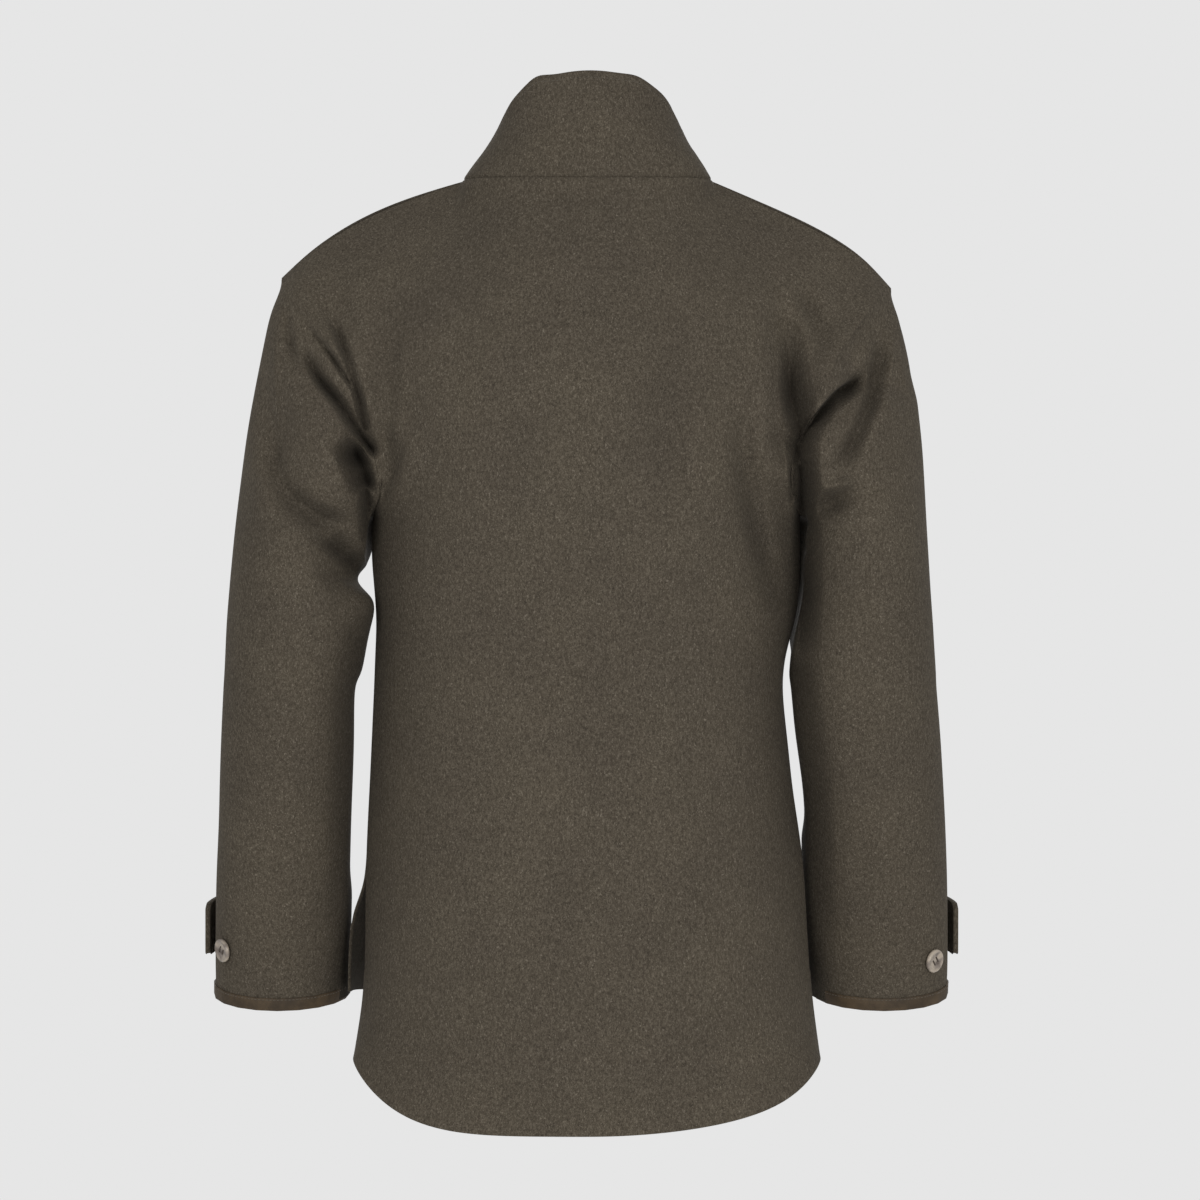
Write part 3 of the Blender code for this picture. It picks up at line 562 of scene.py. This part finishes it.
def crease_move(row, number, flat):
    """How far each point, given across and up, sinks under one crease, and how far it slides where
    the cloth hangs over the trough."""
    line = flowing_line(row.line)
    step = np.diff(line, axis=0)
    length = np.linalg.norm(step, axis=1)
    before = np.concatenate([[0], np.cumsum(length)])
    reach = max(row.left, row.right) * MM * HANG_FADE[1]
    low, high = line.min(0) - reach, line.max(0) + reach
    near = np.flatnonzero(np.all((flat > low) & (flat < high), axis=1))
    drop, slide = np.zeros(len(flat)), np.zeros((len(flat), 2))
    if not len(near):
        return drop, slide
    offset = flat[near][:, None] - line[:-1][None]
    share = np.clip((offset * step).sum(2) / length ** 2, 0, 1)
    gap = np.linalg.norm(offset - share[..., None] * step, axis=2)
    best = gap.argmin(1)
    pick = np.arange(len(near))
    side = step[best, 0] * offset[pick, best, 1] - step[best, 1] * offset[pick, best, 0]
    along = (before[best] + share[pick, best] * length[best]) / before[-1]
    u = gap[pick, best] / (np.where(side > 0, row.left, row.right) * MM)
    inside = np.clip(1 - u, 0, 1)
    trough = row.edge * inside ** 2 + (1 - row.edge) * np.clip(1 - u * u, 0, 1) ** 2
    lip = LIP * min(1, LIP_MOST / abs(row.deep)) * np.exp(-((u - LIP_AT) / LIP_WIDTH) ** 2)
    fade_in, fade_out = (max(fade, SHORTEST_FADE) for fade in row.fade)
    run = smooth_step(0, fade_in, along) * smooth_step(0, fade_out, 1 - along)
    run *= 1 + UNEVEN * sum(np.sin(w.turns * along + w.shift * number) * w.share for w in WAVES)
    drop[near] = row.deep * MM * run * (trough - lip)
    if row.hang:
        over = smooth_step(0, 1, u) * (1 - smooth_step(*HANG_FADE, u)) * (side * row.hang > 0)
        ahead = step[best] / length[best][:, None]
        across = np.stack([ahead[:, 1], -ahead[:, 0]], axis=1)
        slide[near] = across * (row.hang * MM * run * over)[:, None]
    return drop, slide


def painted_shade_depth_of(mesh):
    fold = np.empty(len(mesh.vertices))
    mesh.attributes["fold"].data.foreach_get("value", fold)
    return fold


def set_painted_shade_depth(mesh, fold):
    mesh.attributes["fold"].data.foreach_set("value", fold)


def creased(piece, panel):
    """Sinks every crease of the table that names this panel into its side."""
    co = points_of(piece.data)
    flat = co[:, [0, 2]]
    middle = np.interp(co[:, 2], ARM_HEIGHTS, ARM_MIDDLES)
    moved, fold = co.copy(), np.zeros(len(co))
    for toward, side in ((1, "back"), (-1, "front")):
        share = smooth_step(*SIDE_FADE, (co[:, 1] - middle) * toward)
        sink, rise = np.zeros(len(co)), np.zeros(len(co))
        for number, row in enumerate(CREASES):
            if panel in row.pieces and row.side == side:
                drop, slide = crease_move(row, number, flat)
                sink, rise = np.maximum(sink, drop), np.minimum(rise, drop)
                moved[:, [0, 2]] += share[:, None] * slide
        moved[:, 1] -= toward * share * (sink + rise)
        # Painted shade: the deepest crease at each point, on the side that faces out, is kept for darkening
        # the colour there.
        fold = np.maximum(fold, smooth_step(*SHADE_FADE, (co[:, 1] - middle) * toward) * sink)
    move_points(piece.data, moved)
    piece.data.attributes.new("fold", "FLOAT", "POINT")
    set_painted_shade_depth(piece.data, fold)
    return piece


# %% [markdown]
# ## Sleeves that rest on the body
# From behind, no light comes through between the right sleeve and the body, and the left cuff hides
# the corner of the left front. The inner side of each sleeve therefore leans over a little, in front
# of the side seam, where the body falls away, and it stops just short of the body. The row with a
# negative push presses the outer side of the right cap in instead.

# %% Leaning inner sides
Lean = namedtuple("Lean", "panel top bottom push")
LEANS = (
    Lean("sleeve_right", -0.125, -0.160, -2.8 * MM),
    Lean("sleeve_right", -0.275, -0.330, 5.2 * MM),
    Lean("sleeve_right", -0.322, -0.388, 11.5 * MM),
    Lean("sleeve_right", -0.565, -0.700, 4.6 * MM),
    Lean("sleeve_left", -0.285, -0.318, 4.0 * MM),
    Lean("sleeve_left", -0.615, -0.700, 2.2 * MM),
)
LEAN_FADE = 0.030
LEAN_MIDDLE = -0.034
LEAN_WIDTH = 0.022
LEAN_SHADE = 45 * MM
LEAN_CLEAR = 0.5 * MM
FACING = (0.2, 0.8)
OPEN_AIR = 1.0
BODY = ("back", "front_left", "front_right")


def room_beside(place, way):
    """How far a point can move that way before it comes near the body."""
    hits = [skin_trees[name].ray_cast(Vector(place), way)[3] for name in BODY]
    return max(0.0, min([hit for hit in hits if hit is not None], default=OPEN_AIR) - LEAN_CLEAR)


def leaning(piece, panel):
    """Moves the inner side of a sleeve toward the body, most where its own front half lies."""
    co = points_of(piece.data)
    push = np.zeros(len(co))
    way = -1 if panel.endswith("left") else 1
    inner = normals_of(piece.data)[:, 0] * way
    front = np.exp(-((co[:, 1] - LEAN_MIDDLE) / LEAN_WIDTH) ** 2)
    fold = painted_shade_depth_of(piece.data)
    for row in LEANS:
        if row.panel == panel:
            z = co[:, 2]
            tall = smooth_step(row.bottom - LEAN_FADE, row.bottom, z) * (
                1 - smooth_step(row.top, row.top + LEAN_FADE, z))
            facing = smooth_step(*FACING, inner if row.push > 0 else -inner)
            lean = tall * facing * (front if row.push > 0 else 1)
            if row.push > 0:
                push += row.push * lean
                # Painted shade: the leaned inner side of the sleeve is darkened as if it lay deep in a
                # crease.
                fold = np.maximum(fold, LEAN_SHADE * lean)
            else:
                co[:, 0] -= way * row.push * lean
    for number in np.flatnonzero(push):
        co[number, 0] += way * min(push[number], room_beside(co[number], Vector((way, 0, 0))))
    move_points(piece.data, co)
    set_painted_shade_depth(piece.data, fold)
    return piece


# %% [markdown]
# ## Edges
# At a seam the two cloths roll under and meet in a fine groove, and a hem is pressed flat over its
# turning. So the seams of a sheet bend in a little before it is creased. Slow noise keeps wide areas
# from looking like sheet metal.

# %% Rolled seams and pressed hems
EDGE_ROLL = 0.9 * MM
EDGE_REACH = 5.0 * MM
SWAY = 0.7 * MM
SWAY_SIZE = 0.085
CALM_REACH = 30 * MM
UNDERARM = -0.225
FRONT_LAP = 30 * MM
HEM_TOP = {"back": -0.70, "front_left": -0.66, "front_right": -0.66}
HEM_DEPTH = 26 * MM
HEM_STEP = 3 * MM
HEM_PRESS = 0.6 * MM


def edge_distance(mesh, keep=None):
    """How far each point of a sheet is from its nearest edge point that is kept."""
    bm = bmesh.new()
    bm.from_mesh(mesh)
    edge_points = [v.co.copy() for v in bm.verts if v.is_boundary and (keep is None or keep(v.co))]
    bm.free()
    tree = kdtree.KDTree(len(edge_points))
    for number, point in enumerate(edge_points):
        tree.insert(point, number)
    tree.balance()
    return np.array([tree.find(v.co)[2] for v in mesh.vertices])


def edge_loops(mesh):
    """Each edge of a sheet as a closed row of places, with the way into the sheet at each."""
    bm = bmesh.new()
    bm.from_mesh(mesh)
    left = {e for e in bm.edges if e.is_boundary}
    loops = []
    while left:
        edge = left.pop()
        row = [edge.verts[0], edge.verts[1]]
        while row[-1] is not row[0]:
            edge = next(e for e in row[-1].link_edges if e in left)
            left.discard(edge)
            row.append(edge.other_vert(row[-1]))
        row.pop()
        loop = []
        for before, vert, after in zip(row[-1:] + row[:-1], row, row[1:] + row[:1]):
            along = (after.co - before.co).normalized()
            inward = along.cross(vert.normal).normalized()
            middle = sum((f.calc_center_median() for f in vert.link_faces), Vector()) / len(vert.link_faces)
            loop.append((vert.co.copy(), inward if inward.dot(middle - vert.co) > 0 else -inward))
        loops.append(loop)
    bm.free()
    return loops


def sheet_tree(mesh):
    return BVHTree.FromPolygons([v.co.copy() for v in mesh.vertices], [p.vertices[:] for p in mesh.polygons])


def sewn_edge(at):
    """True on the seams, and not on the front edges that lap over each other."""
    return at.z > UNDERARM and (abs(at.x) > FRONT_LAP or at.y > 0)


def swayed(piece, panel):
    """Slow noise over the sheet, edges that roll under, and a hem pressed flat over its turning."""
    mesh = piece.data
    co, normal = points_of(mesh), normals_of(mesh)
    away = edge_distance(mesh)
    calm = smooth_step(0.0, CALM_REACH, away)
    sway = np.array([noise.noise(Vector(p) / SWAY_SIZE) for p in co]) * SWAY * calm
    seam_away = edge_distance(mesh, sewn_edge)
    roll = EDGE_ROLL * np.clip(1 - seam_away / EDGE_REACH, 0, 1) ** 2
    lift = sway - roll
    if panel in HEM_TOP:
        hem_away = edge_distance(mesh, lambda at: at.z < HEM_TOP[panel])
        lift += HEM_PRESS * (1 - smooth_step(HEM_DEPTH - HEM_STEP, HEM_DEPTH, hem_away))
    move_points(mesh, co + normal * lift[:, None])
    return piece


# %% [markdown]
# ## The shape of the collar
# A stand collar of doubled cloth is stiff: behind, it keeps two blunt corners on its top edge and is
# drawn in between neck and edge. Its foot is sewn in behind the neckline. The CAD collar is plainer, so
# a few moves of its points give the rest.

# %% Collar corners, waist and foot
Corner = namedtuple("Corner", "across lift narrow")
COLLAR_CORNERS = (Corner(44 * MM, 4.2 * MM, 0.055), Corner(-43 * MM, 2.2 * MM, 0.075))
CORNER_REACH = 12 * MM
BEHIND = (-20 * MM, 20 * MM)
TOP_BAND = (45 * MM, 85 * MM)
WAIST_AT = 48 * MM
WAIST_REACH = 26 * MM
TUCK_REACH = 3.5 * MM
TUCK_IN = 3.2 * MM
TUCK_DOWN = 3.5 * MM


def squared(piece):
    """Narrows the collar behind at half its height and lifts the two corners of its top edge."""
    co = points_of(piece.data)
    behind = smooth_step(*BEHIND, co[:, 1])
    waist = np.exp(-((co[:, 2] - WAIST_AT) / WAIST_REACH) ** 2)
    for corner in COLLAR_CORNERS:
        peak = np.exp(-((co[:, 0] - corner.across) / CORNER_REACH) ** 2)
        co[:, 2] += corner.lift * peak * behind * smooth_step(*TOP_BAND, co[:, 2])
        outer = co[:, 0] * np.sign(corner.across) > 0
        co[outer, 0] *= (1 - corner.narrow * waist * behind)[outer]
    move_points(piece.data, co)
    return piece


def tucked(piece):
    """Turns the foot of the collar in behind the neckline, so that the seam lets no light through."""
    co, normal = points_of(piece.data), normals_of(piece.data)
    gap = np.array([min(skin_trees[name].find_nearest(Vector(p))[3] for name in BODY) for p in co])
    foot = 1 - smooth_step(0, TUCK_REACH, gap)
    co -= normal * (foot * TUCK_IN)[:, None]
    co[:, 2] -= foot * TUCK_DOWN
    move_points(piece.data, co)
    return piece


# %% [markdown]
# ## Thickness
# Wool has a wall, and its edge shows at hems and fronts. The creased sheet gives up the triangles that
# calm cloth does not need, gets its wall on the inside and a rounded rim. The inside of the jacket lies
# in shade, so its inner skin is given the painted shade of a deep crease.

# %% Walls and finishes
RIM_ROUND = 0.8 * MM
INSIDE_SHADE = 35 * MM


def thinned(piece, most):
    """Drops the triangles that calm cloth does not need, so that the creases can keep theirs."""
    triangles = sum(len(p.vertices) - 2 for p in piece.data.polygons)
    if triangles > most:
        thin = piece.modifiers.new("thin", "DECIMATE")
        thin.ratio = most / triangles
        settle(piece)
    return piece


def thickened(piece, thickness):
    """Gives a sheet its wall on the inside and rounds the corners of its rim."""
    wall = piece.modifiers.new("wall", "SOLIDIFY")
    wall.thickness = thickness
    wall.offset = -1
    outside = len(piece.data.vertices)
    settle(piece)
    # Painted shade: the inner skin gets at least the darkening of a deep crease.
    fold = painted_shade_depth_of(piece.data)
    fold[outside:] = np.maximum(fold[outside:], INSIDE_SHADE)
    set_painted_shade_depth(piece.data, fold)
    bm = bmesh.new()
    bm.from_mesh(piece.data)
    round_off(bm, RIM_ROUND)
    bm.to_mesh(piece.data)
    bm.free()
    shade_smooth(piece.data)
    return piece


def dressed(piece, nodes, material):
    """Gives a finished piece its material, attaches it to the frame, and hides the CAD nodes it stands for.
    """
    piece.data.materials.clear()
    piece.data.materials.append(material)
    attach(piece, "root")
    if nodes:
        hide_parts(*nodes)
    return piece


# %% [markdown]
# ## The cut pieces
# Back, two fronts, two sleeves and a stand collar make the jacket. Each is the same recipe: outer
# skin, softening, sway and rolled seams, creases, lean. The edges and a search tree of the open sheets
# are kept for the sewing, which has to lie on them. The table gives the triangles that each may have.

# %% Body, sleeves and collar
CLOTH = 2.6 * MM
COLLAR_CLOTH = 4.4 * MM
SOFT_LEVELS = 4
PANELS = {"back": 88000, "front_left": 44000, "front_right": 44000, "sleeve_left": 66000,
          "sleeve_right": 66000, "collar": 14000}
panels = {}
panel_edges = {}
skin_trees = {}
for name in PANELS:
    skin = outer_skin(name, THICK_RIM if name == "collar" else THIN_RIM)
    panel = softened(as_object(name + "_cloth", skin), SOFT_LEVELS)
    leaning(creased(swayed(panel, name), name), name)
    if name == "collar":
        tucked(squared(panel))
    thinned(panel, PANELS[name])
    panels[name] = panel
    panel_edges[name] = edge_loops(panel.data)
    skin_trees[name] = sheet_tree(panel.data)
    area = sum(face.area for face in panel.data.polygons)
    print(name, "sheet faces:", len(panel.data.polygons), "area:", round(area, 4))

# %% Thickness last
for name, panel in panels.items():
    thickened(panel, COLLAR_CLOTH if name == "collar" else CLOTH)
    dressed(panel, [name], loden)
    print(name, "triangles:", sum(len(p.vertices) - 2 for p in panel.data.polygons))

# %% [markdown]
# ## Tabs and bindings
# A strap of doubled cloth goes round each cuff and stands off a little at its free end. The cuff edge
# is wrapped in a folded strip. Both are closed CAD walls already, so a merged copy with rounded
# corners is enough. The straps are softened like the panels; the strip is too thin for that.

# %% Straps and cuff edges
TAB_ROUND = 1.1 * MM
STRIP_ROUND = 0.40 * MM
TAB_LEVELS = 2
FLAT_ANGLE = math.radians(12)


def rounded_wall(node, corner, levels):
    bm = wall_copy(node)
    round_off(bm, corner)
    bmesh.ops.join_triangles(bm, faces=bm.faces, angle_face_threshold=FLAT_ANGLE,
                             angle_shape_threshold=math.pi)
    piece = as_object(node + "_sewn", bm)
    if levels:
        softened(piece, levels)
    shade_smooth(piece.data)
    return piece


small_cloth = {}
for word in ("left", "right"):
    tab_name, strip_name = "cuff_tab_" + word, "cuff_binding_" + word
    tab = rounded_wall(tab_name, TAB_ROUND, TAB_LEVELS)
    strip = rounded_wall(strip_name, STRIP_ROUND, 0)
    small_cloth[tab_name] = dressed(tab, [tab_name], loden)
    small_cloth[strip_name] = dressed(strip, [strip_name], binding)
print("tabs and bindings:", [len(p.data.polygons) for p in small_cloth.values()])

# %% [markdown]
# ## Horn buttons
# A horn button is turned on a lathe and drilled, so it is made the same way: a profile is spun, and four
# drills are taken out of it. The CAD button gives the place, the size and the direction. It stands on
# a short shank of thread, and two pairs of threads lie across the holes.

# %% Turned and drilled buttons
Rim = namedtuple("Rim", "share height")
BUTTON_PROFILE = (
    Rim(0.00, 0.0), Rim(0.80, 0.0), Rim(0.94, 0.4), Rim(0.99, 1.2), Rim(1.00, 2.1), Rim(0.985, 2.9),
    Rim(0.94, 3.6), Rim(0.88, 3.95), Rim(0.81, 3.85), Rim(0.72, 3.35), Rim(0.63, 3.0), Rim(0.35, 2.85),
    Rim(0.00, 2.8),
)
BUTTON_STEPS = 44
HOLE_RADIUS = 0.95 * MM
HOLE_OUT = 2.25 * MM
DISH = 2.8 * MM
STRAND = (2.7 * MM, 0.50 * MM, 0.45 * MM)
STRAND_APART = 0.42 * MM
SHANK = 1.1 * MM


def nearest_normal(place):
    """The way out of the sheet that lies nearest to a place."""
    hits = [tree.find_nearest(place) for tree in skin_trees.values()]
    return min(hits, key=lambda hit: hit[3])[1]


def button_seat(node):
    """Radius of a CAD button, and the matrix that stands its axis up at its foot."""
    co = points_of(frame["nodes"][node].data)
    middle = co.mean(0)
    axis = Vector(np.linalg.svd(co - middle, full_matrices=False)[2][2])
    if axis.dot(nearest_normal(Vector(middle))) < 0:
        axis.negate()
    height = (co - middle) @ np.array(axis)
    across = (co - middle) - height[:, None] * np.array(axis)
    foot = Vector(middle) + axis * (height.min() + SHANK)
    turn = Vector((0, 0, 1)).rotation_difference(axis).to_matrix().to_4x4()
    return np.linalg.norm(across, axis=1).max(), Matrix.Translation(foot) @ turn


def turned_button(node):
    radius, seat = button_seat(node)
    bm = bmesh.new()
    points = [bm.verts.new((r.share * radius, 0, r.height * MM)) for r in BUTTON_PROFILE]
    edges = [bm.edges.new(pair) for pair in zip(points, points[1:])]
    bmesh.ops.spin(bm, geom=points + edges, cent=(0, 0, 0), axis=(0, 0, 1), angle=math.tau,
                   steps=BUTTON_STEPS, use_merge=True)
    bmesh.ops.remove_doubles(bm, verts=bm.verts, dist=WELD)
    bmesh.ops.recalc_face_normals(bm, faces=bm.faces)
    drills = bmesh.new()
    strands = bmesh.new()
    for corner in range(4):
        x = HOLE_OUT * (1 if corner in (0, 3) else -1)
        y = HOLE_OUT * (1 if corner < 2 else -1)
        bmesh.ops.create_cone(drills, cap_ends=True, segments=16, radius1=HOLE_RADIUS, radius2=HOLE_RADIUS,
                              depth=4 * DISH, matrix=Matrix.Translation((x, y, 0)))
        shift = Matrix.Translation((0, y + STRAND_APART * (1 if x > 0 else -1), DISH))
        bmesh.ops.create_icosphere(strands, subdivisions=2, radius=1,
                                   matrix=shift @ Matrix.Diagonal((*STRAND, 1)))
    for made in (bm, drills, strands):
        made.transform(seat)
    disc, cutter = as_object(node + "_horn", bm), as_object(node + "_drill", drills)
    drill = disc.modifiers.new("holes", "BOOLEAN")
    drill.operation = "DIFFERENCE"
    drill.solver = "EXACT"
    drill.object = cutter
    settle(disc)
    bpy.data.objects.remove(cutter)
    shade_smooth(disc.data)
    disc.data.set_sharp_from_angle(angle=RIM_ANGLE)
    dressed(disc, [node], horn)
    return dressed(as_object(node + "_thread", strands), [], button_thread)


BUTTONS = [name for name in frame["nodes"] if "button" in name]
for name in BUTTONS:
    turned_button(name)
print("buttons:", len(BUTTONS))

# %% [markdown]
# ## Sewing
# Topstitching keeps the edges of collar, front and tabs flat, and holds the cuff binding. A stitch is a
# few faces only: a small ball drawn out along the line. The line itself is the edge of the sheet moved
# inwards, and put back on the sheet.

# %% Rows of stitches
STITCH = (1.35 * MM, 0.30 * MM, 0.22 * MM)
PITCH = 3.3 * MM
COLLAR_INSET = 6.5 * MM
FRONT_INSET = 6.0 * MM
TAB_INSET = 4.0 * MM
STRIP_INSET = 1.9 * MM
STRIP_HEIGHT = 9.5 * MM
LOOK_FROM = 30 * MM
LONGEST_STEP = 4 * PITCH
CORNER_KEEP = 0.93


def inset_line(loop, tree, inset, keep):
    """The kept part of an edge, moved into the sheet. Points that come too near a corner are dropped."""
    edge = kdtree.KDTree(len(loop))
    for number, (place, _) in enumerate(loop):
        edge.insert(place, number)
    edge.balance()
    line = []
    for place, inward in loop:
        spot = tree.find_nearest(place + inward * inset)[0]
        if keep(place) and edge.find(spot)[2] > CORNER_KEEP * inset:
            line.append(spot)
    return line


def lay_stitch(bm, tree, spot, toward, size):
    """Puts one stitch on the sheet below a spot, drawn out toward a direction."""
    place, out, _, _ = tree.find_nearest(spot)
    along = (toward - out * toward.dot(out)).normalized()
    turn = Matrix((along, out.cross(along), out)).transposed().to_4x4()
    bmesh.ops.create_icosphere(bm, subdivisions=1, radius=1, matrix=Matrix.Translation(place) @ turn
                               @ Matrix.Diagonal((*size, 1)))


def sew(bm, line, tree):
    """Lays stitches end to end along a line on a sheet, with none across a break in it."""
    carry = 0.0
    for start, end in zip(line, line[1:]):
        step = end - start
        if step.length > LONGEST_STEP or step.length < WELD:
            continue
        at = carry
        while at < step.length:
            lay_stitch(bm, tree, start + step * (at / step.length), step, STITCH)
            at += PITCH
        carry = at - step.length


def sewn(name, bm):
    piece = as_object(name, bm)
    shade_smooth(piece.data)
    return dressed(piece, [], top_thread)


# %% [markdown]
# ## Where the sewing runs
# One row follows the top and front edges of the collar, one the edge of the left front, one goes round
# each tab, and one holds each binding. The buttonholes lie across the left front, and only the ends
# that the buttons leave free are sewn here.

# %% Topstitching
COLLAR_FOOT = 12 * MM
FRONT_EDGE = -12 * MM


def off_the_neck_seam(place):
    return min(skin_trees[name].find_nearest(place)[3] for name in BODY) > COLLAR_FOOT


def on_the_front_edge(place):
    return place.x < FRONT_EDGE and place.y < 0


def everywhere(place):
    return True


def row_on(name, loop, tree, inset, keep):
    bm = bmesh.new()
    sew(bm, inset_line(loop, tree, inset, keep), tree)
    return sewn(name, bm)


def strip_row(name, sleeve_edges, tree):
    """Stitches near the top of a binding, found by looking in at it from all round the cuff."""
    cuff = min(sleeve_edges, key=lambda loop: loop[0][0].z)
    middle = sum((place for place, _ in cuff), Vector()) / len(cuff)
    line = []
    for place, inward in cuff + cuff[:1]:
        level = place + inward * (STRIP_HEIGHT - STRIP_INSET)
        out = Vector((place.x - middle.x, place.y - middle.y, 0)).normalized()
        line.append(tree.ray_cast(level + out * LOOK_FROM, -out)[0])
    bm = bmesh.new()
    sew(bm, [spot for spot in line if spot], tree)
    return sewn(name, bm)


rows = {
    "collar": row_on("collar_stitches", panel_edges["collar"][0], skin_trees["collar"], COLLAR_INSET,
                     off_the_neck_seam),
    "front_left": row_on("front_stitches", panel_edges["front_left"][0], skin_trees["front_left"],
                         FRONT_INSET, on_the_front_edge),
}
for name, piece in small_cloth.items():
    tree = sheet_tree(piece.data)
    if "tab" in name:
        outside = softened(as_object(name + "_outside", outer_skin(name, THICK_RIM)), TAB_LEVELS)
        loop = edge_loops(outside.data)[0]
        bpy.data.objects.remove(outside)
        rows[name] = row_on(name + "_stitches", loop + loop[:1], tree, TAB_INSET, everywhere)
    else:
        rows[name] = strip_row(name + "_stitches", panel_edges["sleeve_" + name.split("_")[-1]], tree)
print("stitch faces:", sum(len(row.data.polygons) for row in rows.values()))

# %% Buttonholes
BAR = (1.15 * MM, 0.34 * MM, 0.30 * MM)
BAR_PITCH = 0.75 * MM
HOLE_LIP = 1.1 * MM
HOLE_REACH = 17 * MM
HOLE_FROM = 0.8


def buttonhole(bm, node, tree):
    """Two lips of close stitches that run on from under a button, away from the front edge."""
    radius, seat = button_seat(node)
    start = seat.translation
    count = int((HOLE_REACH - HOLE_FROM * radius) / BAR_PITCH)
    for number in range(count + 1):
        spot = start + Vector((HOLE_FROM * radius + number * BAR_PITCH, 0, 0))
        for lip in (-HOLE_LIP, HOLE_LIP):
            beside = Vector((0, 0, lip if number < count else 0))
            lay_stitch(bm, tree, spot + beside, Vector((0, 0, 1)), BAR)


holes = bmesh.new()
for name in BUTTONS:
    if name.startswith("front"):
        buttonhole(holes, name, skin_trees["front_left"])
buttonhole(holes, "collar_button", skin_trees["collar"])
hole_bars = sewn("buttonhole_stitches", holes)
print("buttonhole faces:", len(hole_bars.data.polygons))

# %% [markdown]
# ## What was cut from the bolt
# A tailor starts from flat pieces. The table gives for each sheet the rectangle that its pattern piece is
# cut from and the area of the piece itself, a sleeve and a binding all the way round.

# %% Flat sizes
Cut = namedtuple("Cut", "width length area held on")
CUTS = {
    "back": Cut(0.55, 0.84, 0.389, "hung", ()),
    "front_left": Cut(0.30, 0.74, 0.1815, "hung", ("back",)),
    "front_right": Cut(0.30, 0.74, 0.1765, "hung", ("back",)),
    "sleeve_left": Cut(0.46, 0.67, 0.225, "hung", ("back",)),
    "sleeve_right": Cut(0.46, 0.67, 0.225, "hung", ("back",)),
    "collar": Cut(0.10, 0.49, 0.0420, "hung", ("back",)),
    "cuff_tab": Cut(0.053, 0.138, 0.0072, "laid", ()),
    "cuff_binding": Cut(0.029, 0.335, 0.0096, "folded", ()),
}


def declare_sheet(name, rests_on):
    sewing = [rows[name]] if name in rows else []
    if name == "front_left":
        sewing.append(hole_bars)


for name, panel in panels.items():
    declare_sheet(name, CUTS[name].on)
for name, piece in small_cloth.items():
    kind, word = name.rsplit("_", 1)
    declare_sheet(name, ["sleeve_" + word])
print("sheets:", len(panels) + len(small_cloth))

# %% [markdown]
# ## Floor and light
# The background of the photograph is an even pale grey. A floor far below the hem stays out of the
# camera's view, and a grey world gives the same flat tone and an even light from all round. Two soft
# boxes stand beside the camera, the one on the right a little stronger, and a third lights the front
# for the other views.

# %% Stage
FLOOR_LEVEL = -1.72
FLOOR_RADIUS = 5.0
BACKGROUND = 0.791
AMBIENT = 0.48
FLOOR_PALE = (0.80, 0.80, 0.80)
FLOOR_GREY = (0.76, 0.76, 0.76)
MIDDLE_OF_BACK = (0, 0, -0.42)
Box = namedtuple("Box", "name place side power")
BOXES = (
    Box("key_right", (-1.2, 2.6, -0.1), 1.2, 23),
    Box("key_left", (1.2, 2.6, -0.1), 1.2, 16),
    Box("front_box", (0.0, -3.4, 0.5), 2.4, 56),
)


def pale_floor():
    bm = bmesh.new()
    bmesh.ops.create_circle(bm, cap_ends=True, segments=96, radius=FLOOR_RADIUS,
                            matrix=Matrix.Translation((0, 0, FLOOR_LEVEL)))
    floor = as_object("floor", bm)
    material, shader, wire = finish("floor_paint", Specular_IOR_Level=0.2)
    place = wire.node("ShaderNodeTexCoord", out="Object")
    feed(shader, wire, Base_Color=place.cells(3).blend(FLOOR_GREY, FLOOR_PALE))
    floor.data.materials.append(material)


def grey_world():
    world = bpy.data.worlds.new("studio")
    bpy.context.scene.world = world
    world.use_nodes = True
    world.node_tree.nodes.clear()
    wire = Wire(world.node_tree)
    seen = wire.node("ShaderNodeLightPath", out="Is Camera Ray")
    glow = wire.node("ShaderNodeBackground", {}, {"Color": (1, 1, 1, 1), "Strength": AMBIENT})
    plain = wire.node("ShaderNodeBackground", {}, {"Color": (1, 1, 1, 1), "Strength": BACKGROUND})
    both = wire.node("ShaderNodeMixShader", {}, {0: seen, 1: glow, 2: plain})
    output = world.node_tree.nodes.new("ShaderNodeOutputWorld")
    world.node_tree.links.new(both.socket, output.inputs["Surface"])


def soft_box(box):
    lamp = bpy.data.lights.new(box.name, "AREA")
    lamp.shape = "SQUARE"
    lamp.size = box.side
    lamp.energy = box.power
    light = bpy.data.objects.new(box.name, lamp)
    light.location = box.place
    toward = Vector(MIDDLE_OF_BACK) - Vector(box.place)
    light.rotation_euler = toward.to_track_quat("-Z", "Y").to_euler()
    bpy.context.scene.collection.objects.link(light)


pale_floor()
grey_world()
for row in BOXES:
    soft_box(row)
bpy.context.scene.view_settings.view_transform = "Standard"
bpy.context.scene.view_settings.look = "None"
print("lights:", [row.name for row in BOXES])
